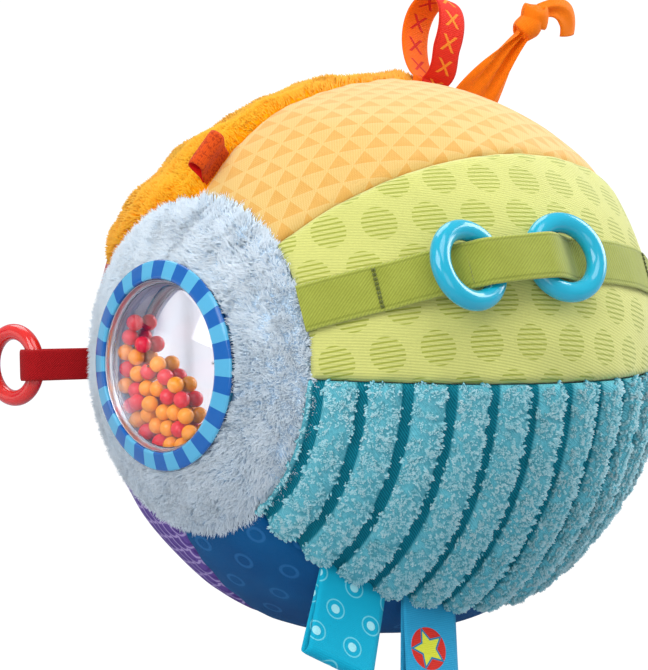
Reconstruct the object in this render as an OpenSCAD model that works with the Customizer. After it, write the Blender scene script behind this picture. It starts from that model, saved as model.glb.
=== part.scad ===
// Stuffed sensory ball: seven sewn gores, a plush disc with a bead window, and ribbons, rings and tabs.
// Millimetres, +Z up. The origin is the middle of the small flat that the ball rests on.
// The window axis leans up out of -Y. Polar angles run from it, azimuths turn about it from +X.

/* [Ball] */
// Radius of the ball's mean outline
ball_r = 85; // [75:1:95]
// Depth of the flat on which the ball rests
rest_flat = 0.5; // [0.3:0.1:0.8]
// How far the window axis leans up from level, degrees
window_tilt = 15; // [5:1:20]
// Radial distance from the stuffing's surface to the mean outline
cover_depth = 3; // [2.5:0.1:4]
// Play between the stuffing and the covers, and along the seams of the round panels
seam_play = 0.2; // [0.1:0.05:0.3]
// Height of the orange plush above the mean outline
orange_rise = 0.4; // [0:0.1:1.5]
// Depth of the thin cotton panels below the mean outline
cotton_sink = 1.4; // [1:0.1:1.8]
// Depth of the green twill below the mean outline
green_sink = 0.2; // [0:0.1:1]
// Depth of the red velour below the mean outline
red_sink = 0.8; // [0:0.1:1.4]
// Height of the long pile discs above the mean outline
pile_rise = 1; // [0.5:0.1:1.5]

/* [Ribbed panel] */
// Depth of the woven ground between ribs below the mean outline
ground_sink = 1; // [0.5:0.1:1.5]
// Height of the chenille ribs above the mean outline
rib_rise = 1.6; // [1:0.1:2]
// Width of one rib at its foot
rib_w = 9.6; // [8:0.1:10]
// Distance from one rib to the next along the ball
rib_pitch = 12.54; // [12:0.1:15]

/* [Bead window] */
// Outer radius of the striped frame
frame_r = 30; // [27:0.5:32]
// Width of the frame's rounded rim
frame_w = 4.9; // [4:0.1:5.5]
// Height of the frame's crest above the mean outline beside it, along the window axis
frame_rise = 4; // [3.6:0.1:4.4]
// Depth of the sewing flange's outer edge below the stuffing's outline, along the window axis
flange_sink = 0.25; // [0.15:0.05:0.4]
// Wall of the moulded tray and its floor
tray_wall = 1.2; // [1:0.1:1.6]
// Height of the tray's side wall above the floor
tray_h = 4.4; // [4:0.1:4.6]
// Width of the sewing flange beyond the frame
flange_w = 3; // [2:0.1:4]
// Rise of the clear dome above its edge
dome_rise = 8.5; // [8:0.1:9]
// Wall of the clear dome
dome_wall = 1.2; // [1:0.1:1.4]
// Thickness of the mirror foil
foil_t = 0.3; // [0.2:0.1:0.4]
// Play between the window's moulded pieces
fit_play = 0.2; // [0.15:0.05:0.25]

/* [Beads] */
// Diameter of one bead
bead_d = 4.8; // [4:0.1:4.8]
// Play between neighbouring beads
bead_play = 0.2; // [0.15:0.05:0.5]
// Distance from the window axis to the first row of the heap
heap_start = 4.7; // [3:0.1:8]

/* [Green strap and its rings] */
// Share of the hole of a turquoise ring that the green strap's width takes
strap_share = 0.9; // [0.8:0.01:0.91]
// Thickness of the green strap, folded double
strap_t = 1; // [0.8:0.1:1.1]
// Outer diameter of a turquoise ring
ring_od = 26.5; // [26.4:0.1:28]
// Thickness of a turquoise ring
ring_tube = 5.8; // [5.5:0.1:5.8]
// Clearance between a ring and the cloth under it
ring_play = 0.3; // [0.2:0.05:0.5]
// Lean of the left ring out of the surface, degrees
left_ring_lean = 24; // [22:1:26]
// Lean of the right ring out of the surface, degrees
right_ring_lean = 8; // [6:1:10]
// Radius of the stitching thread
thread_r = 0.3; // [0.2:0.05:0.4]

/* [Red strap and its ring] */
// Width of the red strap
red_strap_w = 9.3; // [8:0.1:10]
// Thickness of one layer of the red strap
red_strap_t = 0.8; // [0.6:0.1:0.9]
// Reach of the red strap from its seam to the middle of the ring's tube
red_strap_l = 15.5; // [13:0.5:17]
// Outer diameter of the red ring
red_ring_od = 24.6; // [23:0.1:26]
// Thickness of the red ring
red_ring_tube = 4.8; // [4.4:0.1:5]
// Turn of the red ring about the strap's end at rest, degrees
red_ring_turn = 49; // [30:1:60]

/* [Ribbons and tabs] */
// Thickness of the ribbons
ribbon_t = 0.8; // [0.6:0.1:0.9]
// Clearance between a ribbon's sewn end and the ball
root_play = 0.3; // [0.2:0.05:0.4]
// Width of the ribbon with crosses
cross_loop_w = 11; // [9:0.5:13]
// Width across the opening of that loop
cross_loop_d = 16; // [13:0.5:18]
// Height of that loop
cross_loop_h = 25; // [24:0.5:30]
// Width of the ribbon with rings and dots
circle_loop_w = 22; // [18:0.5:23]
// Depth of that loop at its fold
circle_loop_d = 4.6; // [3.6:0.1:5]
// Reach of that loop
circle_loop_h = 28.5; // [24:0.5:30]
// Width of the star tab
star_tab_w = 19; // [15:0.5:20]
// Depth of the star tab at its fold
star_tab_d = 3.4; // [3:0.1:3.8]
// Reach of the star tab
star_tab_h = 24; // [20:0.5:25]
// Width of the blank label tab
label_w = 12.4; // [10:0.1:13]
// Reach of the blank label tab
label_h = 7.5; // [6:0.1:8]
// Width of the knotted ribbon at its seam
knot_ribbon_w = 17.8; // [15:0.1:19]
// Width of the knotted ribbon at the neck below its knot
knot_neck_w = 5; // [4:0.1:6]
// Reach of the knotted ribbon from its seam to that neck
knot_neck_h = 22.5; // [20:0.5:26]
// Radius of the knot
knot_r = 5.6; // [4:0.1:6.5]
// Length of the ribbon's free tail past the knot
tail_l = 8; // [7:0.5:11]
// Width of the ribbon's free tail
tail_w = 8.4; // [7:0.1:11]

/* [Hidden] */
$fn = 64;
overrun = 1;

// Azimuths of the seven seams about the window axis, degrees, in order round the ball
seam_teal_green = 13.5;
seam_green_yellow = 63.1;
seam_yellow_orange = 105.9;
seam_orange_red = 162.6;
seam_red_purple = 218.6;
seam_purple_navy = 275;
seam_navy_teal = 319.4;

// Polar angles of the edge of the front disc and of the back disc, degrees
front_edge = 34.5;
back_edge = 180 - front_edge;

// Polar angles and azimuths where the strap, rings, ribbons and tabs sit, degrees
strap_az = 36.9;
first_stitch_at = 49.3;
last_stitch_at = 120.7;
left_ring_at = 65.6;
right_ring_at = 87;
red_strap_at = 36.6;
red_strap_az = 198.6;
cross_loop_at = 104;
knot_ribbon_at = 118;
label_tab_at = 42;
circle_loop_at = 58.5;
star_tab_at = 76.5;

// Leans at rest from square to the surface, degrees
cross_loop_lean = 5;
knot_ribbon_lean = -22;
label_tab_lean = -14;
circle_loop_lean = -9;
star_tab_lean = -16;

// Turn of the knotted ribbon's tail, and the turns of the wrap round its knot, degrees
tail_turn = 65;
wrap_turn = 60;
wrap_tip = 20;

// Polar angle of the first groove between the panel's ribs
first_groove_at = 36.4;

core_r = ball_r - cover_depth;
cotton_r = ball_r - cotton_sink;
green_r = ball_r - green_sink;
red_r = ball_r - red_sink;
orange_r = ball_r + orange_rise;
ground_r = ball_r - ground_sink;
rib_top_r = ball_r + rib_rise;
pile_r = ball_r + pile_rise;
centre_h = cotton_r - rest_flat;

function arc_deg(length, radius) = length / radius * 180 / PI;
function ease(t) = t * t * (3 - 2 * t);
edge_play = arc_deg(seam_play, ball_r);

// Window heights along the window axis, from the ball's centre
flange_r = frame_r + flange_w;
floor_z = sqrt(pow(core_r, 2) - pow(flange_r, 2)) - flange_sink;
foil_z = floor_z + foil_t;
wall_top_z = floor_z + tray_h;
dome_edge_z = wall_top_z + fit_play / 2;
rim_r = frame_w / 2;
// The skirt stands inside the rim's middle by this share of the rim's radius
skirt_set_share = 0.25;
rim_z = sqrt(pow(ball_r, 2) - pow(frame_r - rim_r, 2)) + frame_rise - rim_r;
skirt_in_r = frame_r - rim_r * (1 + skirt_set_share);
tray_out_r = skirt_in_r - fit_play;
tray_in_r = tray_out_r - tray_wall;
dome_ball_r = (tray_out_r * tray_out_r + dome_rise * dome_rise) / (2 * dome_rise);
dome_ball_z = dome_edge_z + dome_rise - dome_ball_r;

// Bead heap: rows of a triangular grid on the foil, on the side where the beads gather
heap_az = 238;
bead_pitch = bead_d + bead_play;
row_step = bead_pitch * sqrt(3) / 2;
bead_z = foil_z + bead_play / 2 + bead_d / 2;
// The outermost bead clears the dome's inner face as well as the tray's wall
heap_dome_r = sqrt(
    pow(dome_ball_r - dome_wall - (bead_d + bead_play) / 2, 2) - pow(bead_z - dome_ball_z, 2)
);
heap_r = min(tray_in_r - bead_d / 2 - bead_play, heap_dome_r);
heap_rows = floor((heap_r - heap_start) / row_step);
heap_cols = ceil(heap_r / bead_pitch);
// Of each run of this many beads, these are the red ones
colour_run = 7;
red_run = [0, 2, 3];

// A ring lies on the cloth by its lower side
ring_mid_r = (ring_od - ring_tube) / 2;
strap_w = strap_share * (ring_od - 2 * ring_tube);
function ring_lift(lean) = ring_play + ring_tube / 2 + ring_mid_r * sin(lean)
    - pow(ring_mid_r * cos(lean), 2) / (2 * green_r);
function ring_reach_deg(lean) = arc_deg(ring_mid_r * cos(lean), green_r + ring_tube);

// Heights of the strap's middle above the twill, at stations along its arc
strap_low = ring_play + strap_t / 2;
left_lift = ring_lift(left_ring_lean);
right_lift = ring_lift(right_ring_lean);
left_reach = ring_reach_deg(left_ring_lean);
right_reach = ring_reach_deg(right_ring_lean);
stitch_hold = arc_deg(strap_t, green_r);
strap_step = 2;
// The strap passes through a ring within this share of the ring's reach
pass_share = 0.6;
// Its middle lies this far below or above the ring's own middle, as shares of the ring's thickness
left_under_share = 0.35;
left_over_share = 0.25;
right_over_share = 0.6;
right_middle_share = 0.05;
strap_stations = [
    [front_edge + edge_play, strap_low],
    [first_stitch_at + stitch_hold, strap_low],
    [left_ring_at - pass_share * left_reach, left_lift - ring_tube * left_under_share],
    [left_ring_at, left_lift],
    [left_ring_at + pass_share * left_reach, left_lift + ring_tube * left_over_share],
    [right_ring_at - pass_share * right_reach, right_lift + ring_tube * right_over_share],
    [right_ring_at, right_lift - ring_tube * right_middle_share],
    [right_ring_at + pass_share * right_reach, strap_low],
    [right_ring_at + 2 * right_reach, strap_low],
    [back_edge - edge_play, strap_low]
];
function segment(at, table, i = 0) =
    i >= len(table) - 2 || at <= table[i + 1][0] ? i : segment(at, table, i + 1);
function station_height(at, table) =
    let (
        i = segment(at, table),
        t = (at - table[i][0]) / (table[i + 1][0] - table[i][0])
    ) table[i][1] + (table[i + 1][1] - table[i][1]) * ease(min(max(t, 0), 1));
function strap_height(at) = station_height(at, strap_stations);
strap_from = front_edge + edge_play;
strap_to = back_edge - edge_play;
strap_steps = ceil((strap_to - strap_from) / strap_step);
strap_angles = [for (i = [0:strap_steps]) strap_from + (strap_to - strap_from) * i / strap_steps];

red_ring_mid_r = (red_ring_od - red_ring_tube) / 2;
// The inner side of the ring's tube curves furthest from the eye's middle, at the strap's edges
red_hole_r = red_ring_mid_r - red_ring_tube / 2;
red_bow = red_ring_mid_r - sqrt(pow(red_hole_r, 2) - pow(red_strap_w / 2, 2));
red_eye_r = red_bow + ring_play / 2;

// A ribbon's two ends lie together in the seam, as one round bead of cloth
root_r = ribbon_t + seam_play / 2;
red_root_r = red_strap_t + seam_play / 2;
function root_lift(width, surface_r) = root_play + pow(width / 2, 2) / (8 * surface_r);
seam_offset = arc_deg(root_r + root_play, ball_r);

// Radius of the wrap's tube as a share of the knot's, and the tail's width at the knot as a share
wrap_share = 0.42;
tail_pinch_share = 0.5;

// Puts children, drawn about the ball's centre with the window axis up, in the part's frame
module on_ball() {
    translate([0, 0, centre_h])
        rotate([90 - window_tilt, 0, 0])
            children();
}

// Puts children on the surface: local +Z is outward, +X runs away from the window, +Y round it
module at_surface(polar, azimuth, radius) {
    on_ball()
        rotate([0, 0, azimuth])
            rotate([0, polar, 0])
                translate([0, 0, radius])
                    children();
}

// Flat section of a shell between two radii and two polar angles, for turning about the window axis
module shell_section(inner, outer, from_polar, to_polar) {
    middle = (from_polar + to_polar) / 2;
    far = 2 * outer;
    intersection() {
        difference() {
            circle(outer);
            circle(inner);
        }
        polygon([
            [0, 0],
            far * [sin(from_polar), cos(from_polar)],
            far * [sin(middle), cos(middle)],
            far * [sin(to_polar), cos(to_polar)]
        ]);
    }
}

module cut_at_rest() {
    intersection() {
        children();
        translate([-2 * ball_r, -2 * ball_r, 0])
            cube([4 * ball_r, 4 * ball_r, 4 * ball_r]);
    }
}

// One gore of cover between two seams
module gore(from_seam, to_seam, outer) {
    on_ball()
        rotate_extrude(angle = to_seam - from_seam, start = from_seam)
            shell_section(core_r + seam_play, outer, front_edge + edge_play, back_edge - edge_play);
}

module stuffing() {
    color("white")
        on_ball()
            difference() {
                sphere(core_r);
                translate([0, 0, floor_z - tray_wall - fit_play])
                    cylinder(r = flange_r + fit_play, h = ball_r);
            }
}

// Long pile disc round the window, with a rounded outer edge
module front_disc() {
    from_polar = asin((frame_r + fit_play) / ball_r);
    edge_r = (pile_r - core_r - seam_play) / 2;
    round_at = front_edge - arc_deg(edge_r, ball_r);
    color("lightsteelblue")
        on_ball()
            rotate_extrude()
                difference() {
                    union() {
                        shell_section(core_r + seam_play, pile_r, from_polar / 2, round_at);
                        rotate(-round_at)
                            translate([0, pile_r - edge_r])
                                circle(edge_r);
                    }
                    square([frame_r + fit_play, 2 * ball_r]);
                }
}

module back_disc() {
    edge_r = (pile_r - core_r - seam_play) / 2;
    round_at = back_edge + arc_deg(edge_r, ball_r);
    color("lightsteelblue")
        on_ball()
            rotate_extrude()
                intersection() {
                    union() {
                        shell_section(core_r + seam_play, pile_r, round_at, 180 + front_edge);
                        rotate(-round_at)
                            translate([0, pile_r - edge_r])
                                circle(edge_r);
                    }
                    translate([0, -2 * ball_r])
                        square([2 * ball_r, 4 * ball_r]);
                }
}

module orange_panel() {
    color("darkorange")
        gore(seam_yellow_orange, seam_orange_red, orange_r);
}

module yellow_panel() {
    color("gold")
        gore(seam_green_yellow, seam_yellow_orange, cotton_r);
}

module green_panel() {
    color("yellowgreen")
        gore(seam_teal_green, seam_green_yellow, green_r);
}

// Wide-rib chenille: each rib is a rounded ridge round the window axis
module teal_panel() {
    rib_deg = arc_deg(rib_pitch, ball_r);
    ribs = floor((back_edge - first_groove_at) / rib_deg);
    // Radius of a circle through the rib's two feet and its crest
    crest = rib_top_r - ground_r;
    rib_r = (pow(rib_w / 2, 2) + crest * crest) / (2 * crest);
    color("cadetblue")
        on_ball()
            rotate_extrude(angle = seam_teal_green + 360 - seam_navy_teal, start = seam_navy_teal)
                union() {
                    shell_section(
                        core_r + seam_play, ground_r, front_edge + edge_play, back_edge - edge_play
                    );
                    intersection() {
                        shell_section(
                            core_r + seam_play, rib_top_r + overrun,
                            front_edge + edge_play, back_edge - edge_play
                        );
                        union() {
                            for (i = [0:ribs - 1]) {
                                rotate(-(first_groove_at + (i + 0.5) * rib_deg))
                                    translate([0, rib_top_r - rib_r])
                                        circle(rib_r);
                            }
                        }
                    }
                }
}

module navy_panel() {
    color("navy")
        cut_at_rest()
            gore(seam_purple_navy, seam_navy_teal, cotton_r);
}

module purple_panel() {
    color("mediumpurple")
        cut_at_rest()
            gore(seam_red_purple, seam_purple_navy, cotton_r);
}

module red_panel() {
    color("crimson")
        gore(seam_orange_red, seam_red_purple, red_r);
}

// Moulded tray: floor, sewing flange and side wall in one
module window_tray() {
    color("white")
        on_ball()
            rotate_extrude()
                union() {
                    translate([0, floor_z - tray_wall])
                        square([flange_r, tray_wall]);
                    translate([tray_in_r, floor_z - tray_wall])
                        square([tray_wall, tray_wall + tray_h]);
                }
}

module mirror_foil() {
    color("silver")
        on_ball()
            translate([0, 0, floor_z])
                cylinder(r = tray_in_r - fit_play, h = foil_t);
}

module window_dome() {
    color("azure", 0.3)
        on_ball()
            rotate_extrude()
                intersection() {
                    translate([0, dome_ball_z])
                        difference() {
                            circle(dome_ball_r);
                            circle(dome_ball_r - dome_wall);
                        }
                    translate([0, dome_edge_z])
                        square([tray_out_r, dome_rise + overrun]);
                }
}

// Striped frame: a rounded rim on a skirt that reaches down to the tray's flange
module window_frame() {
    color("dodgerblue")
        on_ball()
            rotate_extrude()
                union() {
                    translate([frame_r - rim_r, rim_z])
                        circle(rim_r);
                    translate([skirt_in_r, floor_z + fit_play / 2])
                        square([frame_r - skirt_in_r, rim_z - floor_z - fit_play / 2]);
                }
}

// Beads of one colour: the sites of the heap's grid whose turn in the run matches
module bead_heap(red) {
    on_ball()
        rotate([0, 0, heap_az])
            for (row = [0:heap_rows]) {
                for (col = [-heap_cols:heap_cols]) {
                    out = heap_start + row * row_step;
                    across = (col + (row % 2) / 2) * bead_pitch;
                    turn = (col + 2 * row + 4 * colour_run) % colour_run;
                    is_red = len(search(turn, red_run)) > 0;
                    if (norm([out, across]) <= heap_r && is_red == red) {
                        translate([out, across, bead_z])
                            sphere(d = bead_d);
                    }
                }
            }
}

module red_beads() {
    color("crimson")
        bead_heap(true);
}

module yellow_beads() {
    color("orange")
        bead_heap(false);
}

// Folded twill strap along the middle of the green panel, woven through both rings
module green_strap() {
    function edge_point(at, side) =
        (green_r + strap_height(at) + side * strap_t / 2) * [sin(at), cos(at)];
    top_edge = [for (at = strap_angles) edge_point(at, 1)];
    low_edge = [for (i = [strap_steps:-1:0]) edge_point(strap_angles[i], -1)];
    color("olivedrab")
        on_ball()
            rotate([0, 0, strap_az])
                rotate([90, 0, 0])
                    translate([0, 0, -strap_w / 2])
                        linear_extrude(strap_w)
                            polygon(concat(top_edge, low_edge));
}

// Rows of thread that hold the strap down at both ends of its free stretch
module strap_stitches() {
    stitch_gap = 2 * thread_r + seam_play;
    color("darkolivegreen")
        for (at = [first_stitch_at, last_stitch_at]) {
            at_surface(at, strap_az, green_r + strap_low + strap_t / 2 + thread_r + seam_play / 2)
                for (side = [-1, 1]) {
                    translate([side * stitch_gap / 2, 0, 0])
                        rotate([90, 0, 0])
                            cylinder(r = thread_r, h = strap_w - 2 * strap_t, center = true);
                }
        }
}

module ring(mid_r, tube_d) {
    rotate_extrude()
        translate([mid_r, 0])
            circle(d = tube_d);
}

module left_ring() {
    color("turquoise")
        at_surface(left_ring_at, strap_az, green_r + left_lift)
            rotate([0, left_ring_lean, 0])
                ring(ring_mid_r, ring_tube);
}

module right_ring() {
    color("turquoise")
        at_surface(right_ring_at, strap_az, green_r + right_lift)
            rotate([0, -right_ring_lean, 0])
                ring(ring_mid_r, ring_tube);
}

// Drop outline: a small circle at the origin, a big one up the axis, and their outer tangents
module drop(small_r, big_r, reach) {
    slope = asin((big_r - small_r) / reach);
    side = [cos(slope), -sin(slope)];
    mirror_side = [-side[0], side[1]];
    top = [0, reach];
    union() {
        circle(small_r);
        translate(top)
            circle(big_r);
        polygon([small_r * side, top + big_r * side, top + big_r * mirror_side, small_r * mirror_side]);
    }
}

// Ribbon folded into a loop: sewn end at the origin, fold up the axis, width along Z
module folded_loop(end_r, fold_r, reach, thickness, width) {
    translate([0, 0, -width / 2])
        linear_extrude(width)
            difference() {
                drop(end_r, fold_r, reach);
                drop(end_r - thickness, fold_r - thickness, reach);
            }
}

// The loop stands out of the surface with its width along the seam and leans about that seam
module loop_across_seam(polar, azimuth, radius, lean) {
    at_surface(polar, azimuth, radius)
        rotate([-lean, 0, 0])
            rotate([90, 0, 90])
                children();
}

red_root_at_r = red_r + root_lift(red_strap_w, red_r) + red_root_r;

// The strap's width runs round the window, so its ring hangs off the side of the ball
module red_strap() {
    color("firebrick")
        at_surface(red_strap_at, red_strap_az, red_root_at_r)
            rotate([90, 0, 0])
                folded_loop(
                    red_root_r, red_eye_r + red_strap_t, red_strap_l, red_strap_t, red_strap_w
                );
}

module red_ring() {
    color("red")
        at_surface(red_strap_at, red_strap_az, red_root_at_r + red_strap_l)
            rotate([0, red_ring_turn, 0])
                translate([0, 0, red_ring_mid_r])
                    rotate([0, 90, 0])
                        ring(red_ring_mid_r, red_ring_tube);
}

module cross_loop() {
    fold_r = cross_loop_d / 2;
    color("orangered")
        loop_across_seam(
            cross_loop_at, seam_yellow_orange,
            orange_r + root_lift(cross_loop_w, orange_r) + root_r, cross_loop_lean
        )
            folded_loop(root_r, fold_r, cross_loop_h - fold_r - root_r, ribbon_t, cross_loop_w);
}

// Ribbon narrowing to a neck, a knot with one wrap round it, and a free tail to one side
module knotted_ribbon() {
    knot_at = knot_neck_h + knot_r - ribbon_t;
    wrap_r = knot_r * wrap_share;
    pinch = tail_w * tail_pinch_share / 2;
    color("orange")
        loop_across_seam(
            knot_ribbon_at, seam_yellow_orange,
            orange_r + root_lift(knot_ribbon_w, orange_r) + root_r, knot_ribbon_lean
        )
            rotate([0, 90, 0]) {
                translate([0, 0, -root_r])
                    linear_extrude(2 * root_r)
                        polygon([
                            [-knot_ribbon_w / 2, 0],
                            [knot_ribbon_w / 2, 0],
                            [knot_neck_w / 2, knot_neck_h],
                            [-knot_neck_w / 2, knot_neck_h]
                        ]);
                rotate([0, 90, 0])
                    cylinder(r = root_r, h = knot_ribbon_w, center = true);
                translate([0, knot_at, 0]) {
                    sphere(knot_r);
                    rotate([wrap_turn, wrap_tip, 0])
                        ring(knot_r - wrap_r / 2, 2 * wrap_r);
                    rotate([0, 0, tail_turn])
                        translate([0, 0, -root_r])
                            linear_extrude(2 * root_r)
                                polygon([
                                    [-pinch, 0],
                                    [pinch, 0],
                                    [tail_w / 2, knot_r + tail_l],
                                    [-tail_w / 2, knot_r + tail_l]
                                ]);
                }
            }
}

// Short doubled tab with nothing printed on it
module label_tab() {
    color("orangered")
        loop_across_seam(
            label_tab_at, seam_yellow_orange,
            orange_r + root_lift(label_w, orange_r) + root_r, label_tab_lean
        )
            translate([0, 0, -label_w / 2])
                linear_extrude(label_w)
                    drop(root_r, root_r + seam_play, label_h - root_r);
}

module seam_tab(polar, lean, width, depth, reach) {
    fold_r = depth / 2;
    loop_across_seam(
        polar, seam_navy_teal - seam_offset,
        cotton_r + root_lift(width, cotton_r) + root_r, lean
    )
        folded_loop(root_r, fold_r, reach - fold_r - root_r, ribbon_t, width);
}

module circle_loop() {
    color("darkturquoise")
        seam_tab(circle_loop_at, circle_loop_lean, circle_loop_w, circle_loop_d, circle_loop_h);
}

module star_tab() {
    color("deepskyblue")
        seam_tab(star_tab_at, star_tab_lean, star_tab_w, star_tab_d, star_tab_h);
}

stuffing();
front_disc();
back_disc();
orange_panel();
yellow_panel();
green_panel();
teal_panel();
navy_panel();
purple_panel();
red_panel();
window_tray();
mirror_foil();
window_dome();
window_frame();
red_beads();
yellow_beads();
green_strap();
strap_stitches();
left_ring();
right_ring();
red_strap();
red_ring();
cross_loop();
knotted_ribbon();
label_tab();
circle_loop();
star_tab();
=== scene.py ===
# %% [markdown]
# # Sensory ball
#
# A soft stuffed ball for babies. Seven sewn panels and two plush discs cover a stuffed core. A
# clear window with loose beads sits in the front disc. A green strap carries two sliding rings,
# and ribbon loops and tabs stand out of the seams.
#
# This first step loads the ball's solids. They stay as they are: each dressed piece is built round
# them, and most pieces ride on their moving bodies. Lengths are millimetres in the ball's own
# frame, because a sewn ball is cut and measured about its own middle: x and y lie across the
# window, z is the window's axis, and the origin is the ball's centre. `dice` is one seeded
# generator, so that every run scatters the tufts alike.

import bpy
import numpy as np
from mathutils import Matrix


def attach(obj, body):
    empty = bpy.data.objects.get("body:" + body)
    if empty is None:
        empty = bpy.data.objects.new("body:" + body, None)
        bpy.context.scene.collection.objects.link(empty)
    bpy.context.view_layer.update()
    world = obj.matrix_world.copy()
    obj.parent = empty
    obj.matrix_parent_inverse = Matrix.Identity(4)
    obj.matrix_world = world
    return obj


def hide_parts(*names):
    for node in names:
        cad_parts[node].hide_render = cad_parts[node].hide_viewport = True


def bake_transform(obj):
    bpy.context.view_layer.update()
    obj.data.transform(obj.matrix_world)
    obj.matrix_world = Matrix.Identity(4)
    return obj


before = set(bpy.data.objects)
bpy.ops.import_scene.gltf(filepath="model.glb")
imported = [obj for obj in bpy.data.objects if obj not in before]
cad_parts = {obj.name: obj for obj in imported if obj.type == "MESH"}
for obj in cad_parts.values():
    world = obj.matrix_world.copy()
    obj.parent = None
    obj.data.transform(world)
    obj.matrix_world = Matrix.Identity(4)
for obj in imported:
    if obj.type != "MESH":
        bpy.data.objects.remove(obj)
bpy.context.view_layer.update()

WINDOW_TILT = np.radians(15)
CENTRE = np.array([0, 0, 83.1])
BALL_AXES = np.array([
    [1, 0, 0],
    [0, np.sin(WINDOW_TILT), np.cos(WINDOW_TILT)],
    [0, -np.cos(WINDOW_TILT), np.sin(WINDOW_TILT)],
])
# The mean outline and the stuffing, then the polar angles of the two disc seams
BALL_R = 85.0
CORE_R = 80.4
FRONT_EDGE = 34.5
BACK_EDGE = 145.5
# Azimuths of the seams between the seven panels, in degrees
SEAM = {
    "teal_green": 13.5, "green_yellow": 63.1, "yellow_orange": 105.9, "orange_red": 162.6,
    "red_purple": 218.6, "purple_navy": 275.0, "navy_teal": 319.4,
}
dice = np.random.default_rng(31)

# %% [markdown]
# ## Places on the ball
#
# A panel of a ball is easiest to describe by two angles: the polar angle from the window's axis
# and the azimuth round it. One could model in x, y and z instead, but then every seam would be a
# curve to solve for. With angles, a seam is a constant.

# %% Directions on the ball
def direction(polar, azimuth):
    """Unit vector n = (sin p cos a, sin p sin a, cos p) for angles in degrees."""
    p, a = np.radians(polar), np.radians(azimuth)
    return np.stack([np.sin(p) * np.cos(a), np.sin(p) * np.sin(a), np.cos(p) + 0 * a], -1)


def away(polar, azimuth):
    """Unit vector along the surface away from the window, dn/dp."""
    p, a = np.radians(polar), np.radians(azimuth)
    return np.stack([np.cos(p) * np.cos(a), np.cos(p) * np.sin(a), -np.sin(p) + 0 * a], -1)


def around(polar, azimuth):
    """Unit vector along the surface round the window, (-sin a, cos a, 0)."""
    a = np.radians(azimuth) + 0 * np.radians(polar)
    return np.stack([-np.sin(a), np.cos(a), 0 * a], -1)


def unit(vectors):
    """Vectors made 1 long, v / |v|."""
    return vectors / np.linalg.norm(vectors, axis=-1, keepdims=True)


def to_part(points):
    """Ball frame in mm to the part's frame in m: (x X + y Y + z Z + centre) / 1000."""
    return (np.asarray(points, float) @ BALL_AXES + CENTRE) / 1000


print("window's middle in m:", to_part(direction(0, 0) * BALL_R).round(4).tolist())

# %% [markdown]
# ### Uneven stuffing
#
# Cloth over stuffing is never even. The unevenness could be sculpted or read from a picture. A sum
# of sine waves in random directions gives the same slow hollows from a few numbers, and it can be
# worked out at any point, so that panel, tuft and strap all follow the same surface.

# %% Smooth steps and ripples
WAVES = 9


def ease(t):
    """Smooth step t t (3 - 2 t) between 0 and 1."""
    t = np.clip(t, 0, 1)
    return t * t * (3 - 2 * t)


def ripple(points, size, seed):
    """Mean of sine waves in random directions, wavelengths round size: about -1 to 1."""
    rng = np.random.default_rng(seed)
    total = 0
    for _ in range(WAVES):
        d = rng.normal(size=3)
        d *= 2 * np.pi / (size * rng.uniform(0.7, 1.5) * np.linalg.norm(d))
        total = total + np.sin(points @ d + rng.uniform(0, 2 * np.pi))
    return total / WAVES * 2.2


print("ripple at the window:", round(float(ripple(direction(0, 0) * BALL_R, 24, 9)), 2))

# %% [markdown]
# ### Grids that become meshes
#
# Every piece is a grid of points worked out with numpy. Box modelling could shape it too, but a
# formula can be read, changed and run again. `place` keeps each point's position in the ball's
# frame and `cloth` its position on the flat cloth, so that a material can follow the surface.

# %% From points to pieces
def grid_faces(rows, cols, wrap_rows=False, wrap_cols=False, start=0):
    """Quads of a rows x cols grid of points; a wrapped side joins its last line to its first."""
    i = np.arange(rows if wrap_rows else rows - 1)
    j = np.arange(cols if wrap_cols else cols - 1)
    i, j = np.meshgrid(i, j, indexing="ij")
    i2, j2 = (i + 1) % rows, (j + 1) % cols
    quads = np.stack([i * cols + j, i2 * cols + j, i2 * cols + j2, i * cols + j2], -1)
    return quads.reshape(-1, 4) + start


def make_piece(name, points, quads=None, tris=None, cloth=None, extra=None):
    """A mesh object from numpy arrays: points in mm, faces as rows of point numbers."""
    mesh = bpy.data.meshes.new(name)
    quads = np.zeros((0, 4), int) if quads is None else np.asarray(quads, int)
    tris = np.zeros((0, 3), int) if tris is None else np.asarray(tris, int)
    points = np.asarray(points, float)
    mesh.vertices.add(len(points))
    mesh.vertices.foreach_set("co", to_part(points).astype(np.float32).ravel())
    loops = np.concatenate([quads.ravel(), tris.ravel()]).astype(np.int32)
    starts = np.concatenate([
        np.arange(len(quads)) * 4, len(quads) * 4 + np.arange(len(tris)) * 3
    ]).astype(np.int32)
    mesh.loops.add(len(loops))
    mesh.loops.foreach_set("vertex_index", loops)
    mesh.polygons.add(len(starts))
    mesh.polygons.foreach_set("loop_start", starts)
    mesh.update(calc_edges=True)
    mesh.polygons.foreach_set("use_smooth", np.full(len(starts), True))
    values = {"place": points}
    if cloth is not None:
        values["cloth"] = np.column_stack([cloth, np.zeros(len(points))])
    for key, field in values.items():
        layer = mesh.attributes.new(key, "FLOAT_VECTOR", "POINT")
        layer.data.foreach_set("vector", np.asarray(field, np.float32).ravel())
    for key, field in (extra or {}).items():
        layer = mesh.attributes.new(key, "FLOAT", "POINT")
        layer.data.foreach_set("value", np.asarray(field, np.float32).ravel())
    piece = bpy.data.objects.new(name, mesh)
    bpy.context.scene.collection.objects.link(piece)
    return piece


def finish_piece(piece, material, nodes=(), body="ball"):
    """Gives a piece its material and slot, the solids it stands for and the body it rides on."""
    piece.data.materials.append(material)
    if nodes:
        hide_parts(*nodes)
    if body:
        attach(piece, body)
    return piece


print("quads in a 3 x 4 grid:", len(grid_faces(3, 4)))

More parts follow.
